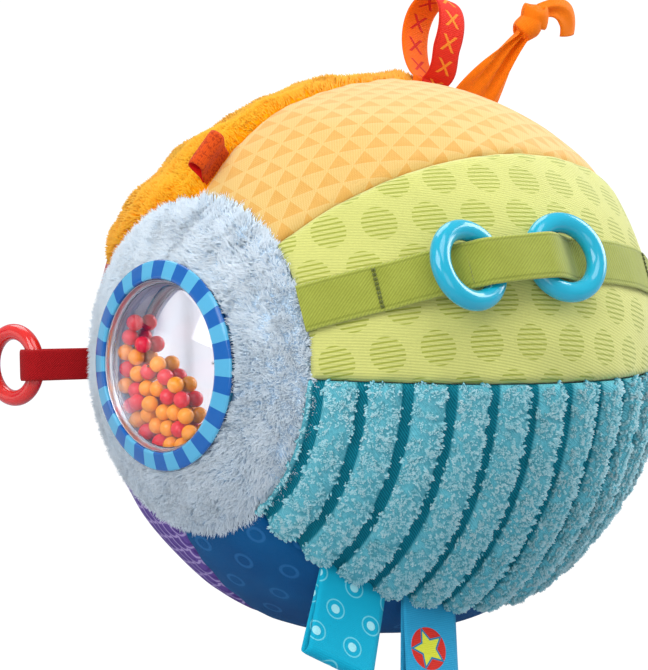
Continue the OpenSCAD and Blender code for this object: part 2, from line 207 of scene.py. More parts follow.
# %% [markdown]
# ## Shader expressions
#
# A printed pattern is a formula, and a formula is easier to read as an expression than as boxes
# and wires. `Number` wraps a shader socket, and arithmetic on it adds Math nodes. `Finish` is one
# material with its nodes. The patterns are sums of simple distances on the flat cloth, in mm.

# %% Numbers on a surface
class Number:
    """A number that varies over a surface. Arithmetic on it adds Math nodes."""

    def __init__(self, finish, socket):
        self.finish, self.socket = finish, socket

    def __add__(self, other):
        return self.finish.maths("ADD", self, other)

    def __sub__(self, other):
        return self.finish.maths("SUBTRACT", self, other)

    def __rsub__(self, other):
        return self.finish.maths("SUBTRACT", other, self)

    def __mul__(self, other):
        return self.finish.maths("MULTIPLY", self, other)

    def __truediv__(self, other):
        return self.finish.maths("DIVIDE", self, other)

    def __rtruediv__(self, other):
        return self.finish.maths("DIVIDE", other, self)

    def __abs__(self):
        return self.finish.maths("ABSOLUTE", self)

    __radd__, __rmul__ = __add__, __mul__


print("operators:", [name for name in vars(Number) if name.startswith("__r")])

# %% Materials from expressions
class Finish:
    """A material on the principled shader, built from expressions."""

    def __init__(self, name, **constants):
        self.material = bpy.data.materials.new(name)
        self.material.use_nodes = True
        self.tree = self.material.node_tree
        self.shader = self.tree.nodes["Principled BSDF"]
        for key, value in constants.items():
            self.shader.inputs[key.replace("_", " ")].default_value = value

    def node(self, kind, settings=None, inputs=None, out=0):
        """Adds a node: settings first, then values or links by socket name or number."""
        node = self.tree.nodes.new(kind)
        for key, value in (settings or {}).items():
            if key == "stops":
                ramp = node.color_ramp
                while len(ramp.elements) < len(value):
                    ramp.elements.new(0.5)
                for element, (at, colour) in zip(ramp.elements, value):
                    element.position, element.color = at, colour
            else:
                setattr(node, key, value)
        for key, value in (inputs or {}).items():
            if isinstance(value, Number):
                self.tree.links.new(value.socket, node.inputs[key])
            else:
                node.inputs[key].default_value = value
        return Number(self, node.outputs[out])

    def where(self):
        """Along and across the flat cloth, and the place in the ball's frame, all in mm."""
        along, across, _ = self.parts(self.field("cloth"))
        return along, across, self.field("place")

    def length(self, a, b):
        """sqrt(a^2 + b^2), for the distance to a pattern's middle."""
        return self.maths("SQRT", a * a + b * b)

    def maths(self, operation, *values):
        """One Math node on numbers or plain values."""
        return self.node("ShaderNodeMath", {"operation": operation}, dict(enumerate(values)))

    def field(self, name):
        """A vector stored on the points."""
        return self.node("ShaderNodeAttribute", {"attribute_name": name}, out="Vector")

    def value(self, name):
        """A number stored on the points."""
        return self.node("ShaderNodeAttribute", {"attribute_name": name}, out="Fac")

    def parts(self, vector):
        """The three numbers of a vector."""
        first = self.node("ShaderNodeSeparateXYZ", inputs={0: vector})
        return [Number(self, first.socket.node.outputs[k]) for k in range(3)]

    def noise(self, vector, scale, detail=2.0, roughness=0.5):
        """Cloudy noise round 0.5, with 1 / scale as the size of its largest clouds."""
        return self.node(
            "ShaderNodeTexNoise", None,
            {"Vector": vector, "Scale": scale, "Detail": detail, "Roughness": roughness},
        )

    def mix(self, amount, first, second):
        """Colour first where amount is 0, second where it is 1."""
        return self.node(
            "ShaderNodeMix", {"data_type": "RGBA"}, {0: amount, 6: first, 7: second}, out=2
        )

    def step(self, value, low, high):
        """0 below low, 1 above high, smooth between."""
        return self.node(
            "ShaderNodeMapRange", {"interpolation_type": "SMOOTHSTEP"},
            {"Value": value, "From Min": low, "From Max": high},
        )

    def ramp(self, value, stops):
        """Colour that runs through the stops as value runs from 0 to 1."""
        return self.node("ShaderNodeValToRGB", {"stops": stops}, {0: value})

    def wave(self, value, pitch):
        """0 to 1 and back once in every pitch."""
        return self.maths("SINE", value * (2 * np.pi / pitch)) * 0.5 + 0.5

    def nearest(self, value, pitch):
        """Signed distance to the nearest multiple of pitch."""
        return value - self.maths("ROUND", value / pitch) * pitch

    def set(self, **sockets):
        """Links or sets the shader's sockets."""
        for key, value in sockets.items():
            socket = self.shader.inputs[key.replace("_", " ")]
            if isinstance(value, Number):
                self.tree.links.new(value.socket, socket)
            else:
                socket.default_value = value
        return self

    def relief(self, height, depth, strength=1.0):
        """Bumps the surface by height times depth, in mm."""
        bump = self.node(
            "ShaderNodeBump", None,
            {"Height": height, "Distance": depth / 1000, "Strength": strength}, out="Normal",
        )
        return self.set(Normal=bump)


def paint(red, green, blue):
    """Display colour in 0..255 to the linear colour a shader takes."""
    c = np.array([red, green, blue]) / 255
    linear = np.where(c <= 0.04045, c / 12.92, ((c + 0.055) / 1.055) ** 2.4)
    return (*linear.tolist(), 1.0)


def shade(colour, share):
    """A display colour made darker or lighter by a share, kept under full white."""
    return paint(*[min(c * share, 250) for c in colour])


print("middle grey in linear light:", round(paint(128, 128, 128)[0], 3))

# %% [markdown]
# ## Panels
#
# Each panel is a piece of cloth pulled over the stuffing. It could be simulated as cloth under
# pressure, but a sewn gore of a tight ball hardly moves, so its shape is written down: a closed
# shell between two seams and the two discs, with rounded shoulders, small puckers along the seams
# and the slow hollows of the stuffing.

# %% The stuffed outline
SETTLE = [
    # polar, azimuth, spread in degrees, lift in mm
    (81.6, 93.0, 16, -2.4), (121.6, 65.0, 16, 1.8), (47.0, 156.0, 12, 1.2),
    (62.0, 133.0, 14, -1.6), (76.0, 118.0, 14, -1.6),
    (70.9, -75.3, 16, 0.3), (88.2, -58.1, 16, -0.8), (115.0, -30.0, 18, -1.2),
]


def settled(points):
    """Slow lift of the stuffed ball: the sum of lift exp(-(angle / spread)^2)."""
    n = unit(points)
    total = 0.35 * ripple(points, 55, 11)
    for polar, azimuth, spread, lift in SETTLE:
        angle = np.degrees(np.arccos(np.clip(n @ direction(polar, azimuth), -1, 1)))
        total = total + lift * np.exp(-((angle / spread) ** 2))
    return total


north = direction(0, 0) * BALL_R
print("lift at the window in mm:", round(float(settled(north)), 2))

# %% Shoulders and grids of a panel
# Places of the first lines of a grid, in mm from the seam
FINE_LINES = (0.0, 0.12, 0.35, 0.7, 1.15, 1.7, 2.4)
PANEL_LONG = 164


def graded(length, step):
    """Fractions 0 to 1 along a length in mm, close together at both ends."""
    fine = np.array(FINE_LINES) / length
    middle = np.linspace(fine[-1], 1 - fine[-1], max(int(length / step), 4))[1:-1]
    return np.concatenate([fine, middle, 1 - fine[::-1]])


def shoulder(gap, width, depth):
    """Fall of a rounded shoulder: depth (1 - sqrt(1 - (1 - gap / width)^2)) near an edge."""
    t = 1 - np.clip(gap / width, 0, 1)
    return depth * (1 - np.sqrt(np.clip(1 - t * t, 0, 1)))


def seam_gaps(polar, azimuth, low, high):
    """Distances in mm along the surface to the two seams and to the two disc edges."""
    side = BALL_R * np.sin(np.radians(polar)) * np.radians(1)
    return (
        side * (azimuth - low), side * (high - azimuth),
        BALL_R * np.radians(polar - FRONT_EDGE), BALL_R * np.radians(BACK_EDGE - polar),
    )


def gore_grid(low, high, step, tuck=0.06):
    """Polar angles and azimuths of a panel's grid, inside its seams by a small tuck in mm."""
    polar = FRONT_EDGE + (BACK_EDGE - FRONT_EDGE) * graded(PANEL_LONG, step)
    u = graded(BALL_R * np.radians(high - low), step)
    trim = np.degrees(tuck / BALL_R)
    azimuth = low + trim + (high - low - 2 * trim) * u
    return np.meshgrid(polar, azimuth, indexing="ij")


print("lines along a panel:", len(graded(PANEL_LONG, 1.5)))

# %% A closed shell of cloth
def sphere_grid(rows, cols, tip=0.0573):
    """Polar angles and azimuths in degrees over a whole sphere, but for its tips."""
    polar, azimuth = np.linspace(tip, 180 - tip, rows), np.linspace(0, 360, cols, endpoint=False)
    return np.meshgrid(polar, azimuth, indexing="ij")


def closed_shell(outer, inner):
    """Points and quads of a shell between two grids of the same size, closed round its rim."""
    rows, cols = outer.shape[:2]
    n = rows * cols
    points = np.concatenate([outer.reshape(-1, 3), inner.reshape(-1, 3)])
    faces = [grid_faces(rows, cols), grid_faces(rows, cols, start=n)[:, ::-1]]
    index = np.arange(n).reshape(rows, cols)
    for line, flip in (
        (index[0, :], False), (index[-1, :], True), (index[:, 0], True), (index[:, -1], False)
    ):
        a, b = line[:-1], line[1:]
        side = np.stack([a, b, b + n, a + n], -1)
        faces.append(side[:, ::-1] if flip else side)
    return points, np.concatenate(faces)


def on_cloth(points, middle):
    """Flat cloth position in mm: S = 85 atan2(q, z) and T = 85 asin(p), from the gore's middle."""
    n = unit(points)
    m = np.radians(middle)
    q = n[..., 0] * np.cos(m) + n[..., 1] * np.sin(m)
    p = -n[..., 0] * np.sin(m) + n[..., 1] * np.cos(m)
    return np.stack([BALL_R * np.arctan2(q, n[..., 2]), BALL_R * np.arcsin(p)], -1)


PANEL_STEP, PUCKER, EDGE_ROUND = 1.5, 0.35, 3.0


def cotton_panel(name, low, high, radius, material, node, fall=2.4, seed=1):
    """A sewn panel at this radius: shoulders at its seams, puckers and slow hollows."""
    polar, azimuth = gore_grid(low, high, PANEL_STEP)
    gaps = seam_gaps(polar, azimuth, low, high)
    n = direction(polar, azimuth)
    spot = n * BALL_R
    near, near_disc = np.minimum(gaps[0], gaps[1]), np.minimum(gaps[2], gaps[3])
    drop = np.maximum(shoulder(near, EDGE_ROUND, fall), shoulder(near_disc, EDGE_ROUND, fall))
    gather = ripple(np.stack([polar * 1.48, 0 * polar, 0.12 * near], -1), 7.5, seed + 40)
    lift = PUCKER * gather * np.exp(-near / 6) * ease(near / 1.2)
    lift = lift + 0.22 * ripple(spot, 18, seed) + settled(spot)
    outer = n * (radius - drop + lift)[..., None]
    inner = n * np.minimum(CORE_R + settled(spot), radius - drop + lift - 0.4)[..., None]
    points, quads = closed_shell(outer, inner)
    piece = make_piece(name, points, quads, cloth=on_cloth(points, (low + high) / 2))
    finish_piece(piece, material, [node])
    print(name, "faces:", len(quads))
    return piece


print("panel grid step in mm:", PANEL_STEP)

# %% [markdown]
# ### Yellow cotton
#
# Thin cotton printed with bands of triangles. A picture of the print could be laid on it, but a
# band and a triangle are two divisions with remainder, which stay sharp at any distance.

# %% Yellow panel
def weave(f, along, across, pitch):
    """Height of a plain weave: crossed threads of the given pitch."""
    return f.wave(along, pitch) * 0.5 + f.wave(across, pitch) * 0.5


def yellow_cotton_finish():
    """Bands of triangles 6.7 mm deep, bases away from the window, each band shifted by half."""
    f = Finish("yellow cotton", Roughness=0.85, Sheen_Weight=0.25, Specular_IOR_Level=0.2)
    along, across, place = f.where()
    wander = f.noise(place, 0.05, 1.0) * 1.2 - 0.6
    run = (along - 55.1 + wander) / 6.7
    band = f.maths("CEIL", run)
    depth = (band - run) * 6.7
    odd = abs(f.nearest(band, 2.0))
    centre = f.nearest(across + along * 0.095 - 1.0 + odd * 3.42, 6.85)
    half = 2.95 - depth * 0.47
    triangle = f.step(half - abs(centre), -0.12, 0.12) * (1 - f.step(depth, 6.1, 6.3))
    gap = f.step(abs(half - abs(centre)), 0.1, 0.34)
    fibre = f.noise(place, 3.2, 3.0, 0.7)
    diagonal = f.wave(along - across * 0.8, 0.95)
    blotch = f.noise(place, 0.04, 2.0)
    pale = f.mix(blotch, paint(218, 182, 104), paint(226, 194, 124))
    dark = f.mix(f.noise(place, 0.11, 2.0), paint(214, 154, 62), paint(222, 166, 80))
    cloth = f.mix(triangle * (0.5 + f.noise(place, 0.3, 2.0) * 0.45), pale, dark)
    cloth = f.mix((1 - gap) * 0.35, cloth, paint(230, 202, 136))
    cloth = f.mix(diagonal * 0.22 + fibre * 0.2, cloth, paint(206, 142, 56))
    f.set(Base_Color=cloth)
    f.relief(weave(f, along, across, 0.55) * 0.5 + fibre * 0.5, 0.09, 0.8)
    return f.material


cotton_panel(
    "yellow_cotton_panel", SEAM["green_yellow"], SEAM["yellow_orange"], 83.9,
    yellow_cotton_finish(), "yellow_panel", seed=2,
)

# %% [markdown]
# ### Green twill
#
# Heavier lime twill with a lattice of big dots, each made of fine dashes. The distance to the
# nearest dot's middle says where a dot is, and a second distance cuts it into dashes.

# %% Green panel
GREEN_R, LIME, OLIVE_PRINT = 84.8, (212, 211, 120), (152, 158, 56)


def green_twill_finish():
    """Lime twill; dots of diameter 10.2 mm on a lattice 14.6 x 12.6 mm, made of dashes."""
    f = Finish("green twill", Roughness=0.85, Sheen_Weight=0.3, Specular_IOR_Level=0.15)
    along, across, place = f.where()
    slope = across + along * 0.095 - 12.1
    row = f.maths("ROUND", slope / 12.6)
    odd = abs(f.nearest(row, 2.0))
    in_row = f.nearest(along + odd * 7.3 - 71.3, 14.6)
    off_row = slope - row * 12.6
    away_from_dot = f.length(in_row, off_row)
    inside = 1 - f.step(away_from_dot, 4.95, 5.2)
    dash = 1 - f.step(abs(f.nearest(off_row - 0.7, 1.4)), 0.2, 0.34)
    twill = f.wave(along * 0.3 + across, 0.85)
    blotch = f.noise(place, 0.05, 3.0)
    fibre = f.noise(place, 1.5, 3.0, 0.7)
    cloth = f.mix(blotch, shade(LIME, 0.97), shade(LIME, 1.05))
    grain = twill * 0.24 + fibre * 0.5
    cloth = f.mix(grain * 0.9, cloth, shade(LIME, 0.8))
    cloth = f.mix(inside * dash * (0.72 + fibre * 0.3), cloth, paint(*OLIVE_PRINT))
    f.set(Base_Color=cloth)
    f.relief(twill * 0.7 + fibre * 0.6, 0.12, 0.8)
    return f.material


cotton_panel(
    "green_twill_panel", SEAM["teal_green"], SEAM["green_yellow"], GREEN_R,
    green_twill_finish(), "green_panel", fall=3.0, seed=3,
)

# %% [markdown]
# ### Navy velour
#
# Soft dark velour with faint rings pressed into its pile. The pile is far shorter than a
# millimetre, so a rough material with a fine bump stands for it and no tufts are needed.

# %% Navy panel
def navy_velour_finish():
    """Deep blue velour with faint paler rings on a loose lattice."""
    f = Finish("navy velour", Roughness=0.95, Sheen_Weight=0.06, Specular_IOR_Level=0.05)
    along, across, place = f.where()
    row = f.maths("ROUND", across / 12.0)
    odd = abs(f.nearest(row, 2.0))
    a = f.nearest(along + odd * 8.0, 16.0)
    b = across - row * 12.0
    r = f.length(a, b)
    ring = 1 - f.step(abs(r - 2.6), 0.3, 0.75)
    fibre = f.noise(place, 2.4, 3.0, 0.7)
    cloth = f.mix(f.noise(place, 0.07, 3.0), paint(2, 66, 120), paint(8, 96, 152))
    cloth = f.mix(ring * (0.25 + fibre * 0.4), cloth, paint(52, 124, 184))
    f.set(Base_Color=cloth)
    f.relief(fibre, 0.25)
    return f.material


cotton_panel(
    "navy_velour_panel", SEAM["purple_navy"], SEAM["navy_teal"], 83.6,
    navy_velour_finish(), "navy_panel", seed=4,
)

# %% [markdown]
# ### Purple cotton
#
# Thin cotton printed with overlapping scales. Each scale is a circle in a brick lattice, of which
# only the upper half shows, because the next row starts below it.

# %% Purple panel
def purple_cotton_finish():
    """Overlapping scales in purple with lilac edges, laid like bricks."""
    f = Finish("purple cotton", Roughness=0.85, Specular_IOR_Level=0.2)
    along, across, place = f.where()
    row = f.maths("FLOOR", along / 4.2)
    odd = abs(f.nearest(row, 2.0))
    a = f.nearest(across + odd * 3.6, 7.2)
    b = along - row * 4.2
    r = f.length(a, b)
    edge = 1 - f.step(abs(r - 3.3), 0.25, 0.6)
    core = 1 - f.step(abs(r - 1.7), 0.2, 0.5)
    fibre = f.noise(place, 3.0, 3.0, 0.7)
    cloth = f.mix(f.noise(place, 0.1, 2.0), paint(92, 66, 142), paint(122, 92, 172))
    cloth = f.mix(edge, cloth, paint(188, 166, 216))
    cloth = f.mix(core * 0.5, cloth, paint(66, 46, 118))
    cloth = f.mix(fibre * 0.2, cloth, paint(60, 44, 104))
    f.set(Base_Color=cloth)
    f.relief(weave(f, along, across, 0.55) * 0.5 + fibre * 0.5, 0.09, 0.8)
    return f.material


cotton_panel(
    "purple_cotton_panel", SEAM["red_purple"], SEAM["purple_navy"], 83.6,
    purple_cotton_finish(), "purple_panel", seed=5,
)

# %% [markdown]
# ### Red velour
#
# The panel on the far side. Fine cords and a brushed nap catch the light in patches, so a slow
# noise moves both the colour and the line of the cords.

# %% Red panel
def red_velour_finish():
    """Red velour with fine cords, a brushed nap and patches of painted sheen."""
    f = Finish("red velour", Roughness=0.92, Sheen_Weight=0.3, Specular_IOR_Level=0.15)
    place = f.field("place")
    _, across, _ = f.parts(f.field("cloth"))
    fibre = f.noise(place, 1.6, 4.0, 0.75)
    brushed_and_sheen = f.noise(place, 0.16, 4.0, 0.6)
    rib = f.wave(across + brushed_and_sheen * 0.8, 2.4)
    # Painted sheen: slow patches of lighter and darker red where the brushed nap catches the light.
    # The same noise bends the cords.
    cloth = f.mix(f.step(brushed_and_sheen, 0.35, 0.65), paint(170, 24, 32), paint(214, 52, 46))
    cloth = f.mix(fibre * 0.45 + (1 - rib) * 0.25, cloth, paint(126, 12, 22))
    f.set(Base_Color=cloth)
    f.relief(fibre + rib * 0.8, 0.3)
    return f.material


cotton_panel(
    "red_velour_panel", SEAM["orange_red"], SEAM["red_purple"], 84.2,
    red_velour_finish(), "red_panel", fall=2.8, seed=6,
)

# %% [markdown]
# ### Stuffing
#
# Loose white fibre fills the covers. It hardly shows, so one lumpy ball stands for it, flattened
# where the window's tray sits in it.

# %% Stuffing
def fibre_finish():
    """Loose white filling."""
    f = Finish("white fibre", Roughness=1.0)
    place = f.field("place")
    f.set(Base_Color=f.mix(f.noise(place, 0.4, 5.0), paint(226, 224, 218), paint(244, 243, 240)))
    f.relief(f.noise(place, 0.7, 5.0), 2.0)
    return f.material


CORE_ROWS, CORE_COLS = 91, 180
WELL_R, WELL_Z = 34, 73.2
core_out = direction(*sphere_grid(CORE_ROWS, CORE_COLS, 0.01))
core = core_out * (CORE_R - 0.5 + 0.4 * ripple(core_out * BALL_R, 24, 9))[..., None]
in_well = (np.hypot(core[..., 0], core[..., 1]) < WELL_R) & (core[..., 2] > 0)
core[..., 2] = np.where(in_well, np.minimum(core[..., 2], WELL_Z), core[..., 2])
stuffing = make_piece(
    "stuffing_core", core.reshape(-1, 3), grid_faces(CORE_ROWS, CORE_COLS, wrap_cols=True)
)
finish_piece(stuffing, fibre_finish(), ["stuffing"])
print("stuffing points:", CORE_ROWS * CORE_COLS)

# %% [markdown]
# ## Pile that stands up
#
# Orange plush, pale blue plush and teal chenille have a pile that shows against the light.
# Blender's hair would draw it, but an exported model keeps only meshes. So each tuft is a blade of
# three sides bent once, and its normals lean towards the cloth's own, because soft hair is lit
# mostly as the cloth under it is.

# %% Tufts
# Share of a tuft's shading that comes from the cloth under it
SOFT_SHADE = 0.84


def tufts(name, roots, heads, width, tones, side_seed):
    """Fine three-sided blades from roots to heads, bent halfway, each with its own tone."""
    n = len(roots)
    rng = np.random.default_rng(side_seed)
    run = heads - roots
    a = unit(np.cross(run, rng.normal(size=(n, 3))))
    b = unit(np.cross(run, a))
    up = unit(roots)
    reach = np.linalg.norm(run, axis=1, keepdims=True)
    middle = roots + run * 0.5 + up * reach * 0.13
    w = np.broadcast_to(np.asarray(width, float), (n,))[:, None]
    rings = []
    for level, share in ((roots, 1.0), (middle, 0.8)):
        for k in range(3):
            t = 2 * np.pi * k / 3
            rings.append(level + w / 2 * share * (np.cos(t) * a + np.sin(t) * b))
    points = np.stack(rings + [heads], 1).reshape(-1, 3)
    base = (np.arange(n) * 7)[:, None]
    quads = np.concatenate([
        base + np.array([[k, (k + 1) % 3, 3 + (k + 1) % 3, 3 + k]]) for k in range(3)
    ])
    tris = np.concatenate(
        [base + np.array([[3 + k, 3 + (k + 1) % 3, 6]]) for k in range(3)]
        + [base + np.array([[2, 1, 0]])]
    )
    tip = np.tile([0, 0, 0, 0.55, 0.55, 0.55, 1.0], n)
    piece = make_piece(name, points, quads, tris, extra={"tip": tip, "tone": np.repeat(tones, 7)})
    own = np.empty(len(points) * 3, np.float32)
    piece.data.vertex_normals.foreach_get("vector", own)
    soft_up = np.repeat(up @ BALL_AXES, 7, axis=0)
    soft = unit(own.reshape(-1, 3) * (1 - SOFT_SHADE) + soft_up * SOFT_SHADE)
    piece.data.normals_split_custom_set_from_vertices(soft.tolist())
    return piece


def tuft_pieces(name, roots, heads, tones, width, parts, seed, material):
    """Lays tufts in several pieces of one size each, so that none grows too heavy."""
    share = -(-len(roots) // parts)
    for k in range(parts):
        part = slice(k * share, (k + 1) * share)
        piece = tufts(f"{name}_{k + 1}", roots[part], heads[part], width, tones[part], seed + k)
        finish_piece(piece, material)
    return len(roots)


print("share of cloth in the shading:", SOFT_SHADE)

# %% Where tufts stand
def scatter(count, low, high, from_polar=FRONT_EDGE, to_polar=BACK_EDGE, rng=dice):
    """Even random points on a patch of the ball: cos(polar) and azimuth are uniform."""
    c = rng.uniform(np.cos(np.radians(to_polar)), np.cos(np.radians(from_polar)), count)
    return np.degrees(np.arccos(c)), rng.uniform(low, high, count)


def clump_blades(base, lean, e, f, tall, tone, blades, spread, gather, stray, rng):
    """Blades of clumps: roots spread about each base, heads closer together by gather.

    head = base + lean tall u + gather offset + stray, with u between 0.8 and 1.1."""
    total = len(base) * blades
    pick = np.repeat(np.arange(len(base)), blades)
    offset = rng.normal(0, spread, (total, 1)) * e[pick]
    offset = offset + rng.normal(0, spread, (total, 1)) * f[pick]
    reach = tall[pick] * rng.uniform(0.8, 1.1, (total, 1))
    heads = base[pick] + lean[pick] * reach + offset * gather + rng.normal(0, stray, (total, 3))
    tones = np.clip(tone[pick] + rng.normal(0, 0.08, total), 0, 1)
    return base[pick] + offset, heads, tones


print("patch of the ball in degrees:", FRONT_EDGE, "to", BACK_EDGE)

# %% Pile materials
def pile_finish(name, deep, mid, pale, patch=0.09, rise=0.72):
    """Colour runs deep, mid, pale along a tuft and drifts in patches over the cloth."""
    f = Finish(
        name, Roughness=0.95, Sheen_Weight=0.12, Sheen_Roughness=0.5, Specular_IOR_Level=0.05
    )
    place = f.field("place")
    drift = f.noise(place, patch, 3.0) * 0.3 + f.noise(place, 0.6, 1.0) * 0.2
    level = f.value("tip") * rise + f.value("tone") * 0.3 + drift - (rise / 2 - 0.08)
    colour = f.ramp(level, [(0.0, deep), (0.45, mid), (1.0, pale)])
    f.set(Base_Color=colour)
    return f.material


def ground_finish(name, deep, mid):
    """The knitted ground under a pile, seen between the tufts."""
    f = Finish(name, Roughness=1.0, Specular_IOR_Level=0.05)
    place = f.field("place")
    grain = f.noise(place, 0.5, 4.0)
    f.set(Base_Color=f.mix(f.step(grain, 0.3, 0.7), deep, mid))
    f.relief(f.noise(place, 2.2, 3.0), 0.5)
    return f.material


orange_pile = pile_finish(
    "orange minky", paint(248, 138, 0), paint(255, 168, 8), paint(255, 200, 52)
)
orange_ground = ground_finish("orange ground", paint(246, 140, 2), paint(254, 164, 14))
print("pile materials:", orange_pile.name, "and", orange_ground.name)

# %% [markdown]
# ## Orange plush panel
#
# Short dense plush that lies in loose folds over the stuffing. The folds are in the ground's
# radius, and the nap is brushed one way in patches. Its light and dark areas come partly from
# that lean and partly from painted sheen: patches of paler and darker tufts.

# %% Orange ground
ORANGE_R = 85.0
ORANGE_SEAMS = SEAM["yellow_orange"], SEAM["orange_red"]


def orange_radius(polar, azimuth):
    """Radius of the orange ground: a long fold, lumps of stuffing and shoulders at the edges."""
    gaps = seam_gaps(polar, azimuth, *ORANGE_SEAMS)
    spot = direction(polar, azimuth) * BALL_R
    near = np.minimum(np.minimum(gaps[0], gaps[1]), np.minimum(gaps[2], gaps[3]))
    crease = gaps[0] - 9 - 0.1 * (polar - 40) * 1.48
    fold = -1.1 * np.exp(-((crease / 2.2) ** 2)) * ease((100 - polar) / 30)
    lumps = 0.8 * ripple(spot, 26, 21) + 0.7 * ripple(spot, 11, 22)
    return ORANGE_R + fold + lumps * ease(near / 6) + settled(spot) - shoulder(near, 3.2, 3.2)


orange_grid = gore_grid(*ORANGE_SEAMS, 1.3)
orange_up = direction(*orange_grid)
points, quads = closed_shell(orange_up * orange_radius(*orange_grid)[..., None], orange_up * CORE_R)
orange = make_piece("orange_plush_panel", points, quads)
finish_piece(orange, orange_ground, ["orange_panel"])
print("orange ground quads:", len(quads))

# %% Orange nap
NAP_COUNT, NAP_WIDTH, NAP_SUNK = 36000, 0.52, 0.4
nap_at = scatter(NAP_COUNT, *ORANGE_SEAMS)
nap_up = direction(*nap_at)
nap_spot = nap_up * BALL_R
lay = 0.55 * ripple(nap_spot, 14, 23)[:, None] * away(*nap_at)
lay = lay + (0.35 + 0.4 * ripple(nap_spot, 9, 24))[:, None] * around(*nap_at)
nap = unit(nap_up + 0.7 * lay + dice.normal(0, 0.15, (NAP_COUNT, 3)))
nap_roots = nap_up * (orange_radius(*nap_at) - NAP_SUNK)[:, None]
nap_heads = nap_roots + nap * dice.uniform(1.3, 2.2, NAP_COUNT)[:, None]
# Patches of paler and darker tufts: painted sheen of the brushed nap, besides random tone from the
# noise.
nap_tones_and_sheen = 0.5 + 0.25 * ripple(nap_spot, 9, 25) + dice.normal(0, 0.18, NAP_COUNT)
tuft_pieces(
    "orange_nap", nap_roots, nap_heads, np.clip(nap_tones_and_sheen, 0, 1), NAP_WIDTH, 3, 30,
    orange_pile,
)
print("orange tufts:", NAP_COUNT)

# %% [markdown]
# ## Teal ribbed panel
#
# Wide chenille ribs run round the window, with a narrow diagonal twill groove between them. A bump
# could fake the ribs, but they stand 2.5 mm high and make the ball's outline, so they are in the
# ground's radius. Each rib is covered in clumps of short thick tufts that lean outwards from its
# crest.

# %% Ribs
RIB_AT, RIB_STEP, RIB_HALF, RIB_RISE = 36.4, 8.45, 4.9, 2.5
TEAL_R, TEAL_UNDER_R = 83.9, 82.6
TEAL_LOW, TEAL_HIGH = SEAM["navy_teal"] - 360, SEAM["teal_green"]


def across_rib(polar):
    """-1 in the groove before a rib, 0 on its crest, 1 in the groove after it."""
    turn = (polar - RIB_AT) / RIB_STEP
    return (turn - np.floor(turn) - 0.5) * 2


def scallop(polar):
    """Rib ends hang over the lower seam by up to 1.7 degrees, grooves by none."""
    return 1.7 * np.sqrt(np.clip(1 - across_rib(polar) ** 2, 0, 1)) + 0.25


def rounded(t):
    """Quarter circle sqrt(1 - (1 - t)^2) from 0 to 1."""
    return np.sqrt(np.clip(1 - (1 - np.clip(t, 0, 1)) ** 2, 0, 1))


def rib_height(polar, azimuth):
    """0 in a groove, 1 on a rib's crest; rounded at the rib's ends."""
    x = across_rib(polar) / 2 * RIB_STEP * 1.484 / RIB_HALF
    gaps = seam_gaps(polar, azimuth, TEAL_LOW - scallop(polar), TEAL_HIGH)
    ends = rounded(gaps[0] / 4.5) * rounded((gaps[1] + 0.6) / 2.6)
    ends = ends * ease((gaps[2] + 2.6) / 2.6) * ease((gaps[3] + 2.6) / 2.6)
    return np.sqrt(np.clip(1 - x * x, 0, 1)) * ends


def teal_radius(polar, azimuth):
    """Radius of the teal ground: ribs with small lumps on a low twill, down at both seams."""
    spot = direction(polar, azimuth) * BALL_R
    gaps = seam_gaps(polar, azimuth, TEAL_LOW - scallop(polar), TEAL_HIGH)
    drop = shoulder(np.minimum(gaps[0], gaps[1]), 2.2, 1.6)
    ribs = (RIB_RISE + 0.25 * ripple(spot, 6, 27)) * rib_height(polar, azimuth)
    return TEAL_R + ribs + settled(spot) - drop


print("ribs:", int((BACK_EDGE - RIB_AT) / RIB_STEP))

# %% Teal ground
def rib_ground():
    """Deep teal diagonal twill between the ribs, mid teal under the tufts of a rib."""
    f = Finish("teal ground", Roughness=0.95, Specular_IOR_Level=0.1)
    place = f.field("place")
    along, across, _ = f.parts(f.field("cloth"))
    twill = f.wave(along * 0.8 + across, 0.9)
    rib = f.value("rib")
    groove = f.mix(twill, paint(10, 104, 124), paint(24, 138, 156))
    crest = f.mix(f.noise(place, 0.9, 3.0), paint(60, 160, 178), paint(128, 204, 216))
    f.set(Base_Color=f.mix(f.step(rib, 0.15, 0.5), groove, crest))
    f.relief(twill * 0.4 + f.noise(place, 1.3, 3.0), 0.5)
    return f.material


teal_rows = FRONT_EDGE + (BACK_EDGE - FRONT_EDGE) * graded(PANEL_LONG, 0.62)
teal_cols = graded(BALL_R * np.radians(TEAL_HIGH - TEAL_LOW), 1.5)
teal_polar, teal_share = np.meshgrid(teal_rows, teal_cols, indexing="ij")
teal_start = TEAL_LOW - scallop(teal_polar)
teal_turn = teal_start + (TEAL_HIGH - 0.05 - teal_start) * teal_share
teal_up = direction(teal_polar, teal_turn)
teal_top = teal_radius(teal_polar, teal_turn)
teal_under = np.minimum(TEAL_UNDER_R + settled(teal_up * BALL_R), teal_top - 0.3)
points, quads = closed_shell(teal_up * teal_top[..., None], teal_up * teal_under[..., None])
teal = make_piece(
    "teal_ribbed_panel", points, quads, cloth=on_cloth(points, (TEAL_LOW + TEAL_HIGH) / 2),
    extra={"rib": np.tile(rib_height(teal_polar, teal_turn).ravel(), 2)},
)
finish_piece(teal, rib_ground(), ["teal_panel"])
print("teal ground quads:", len(quads))

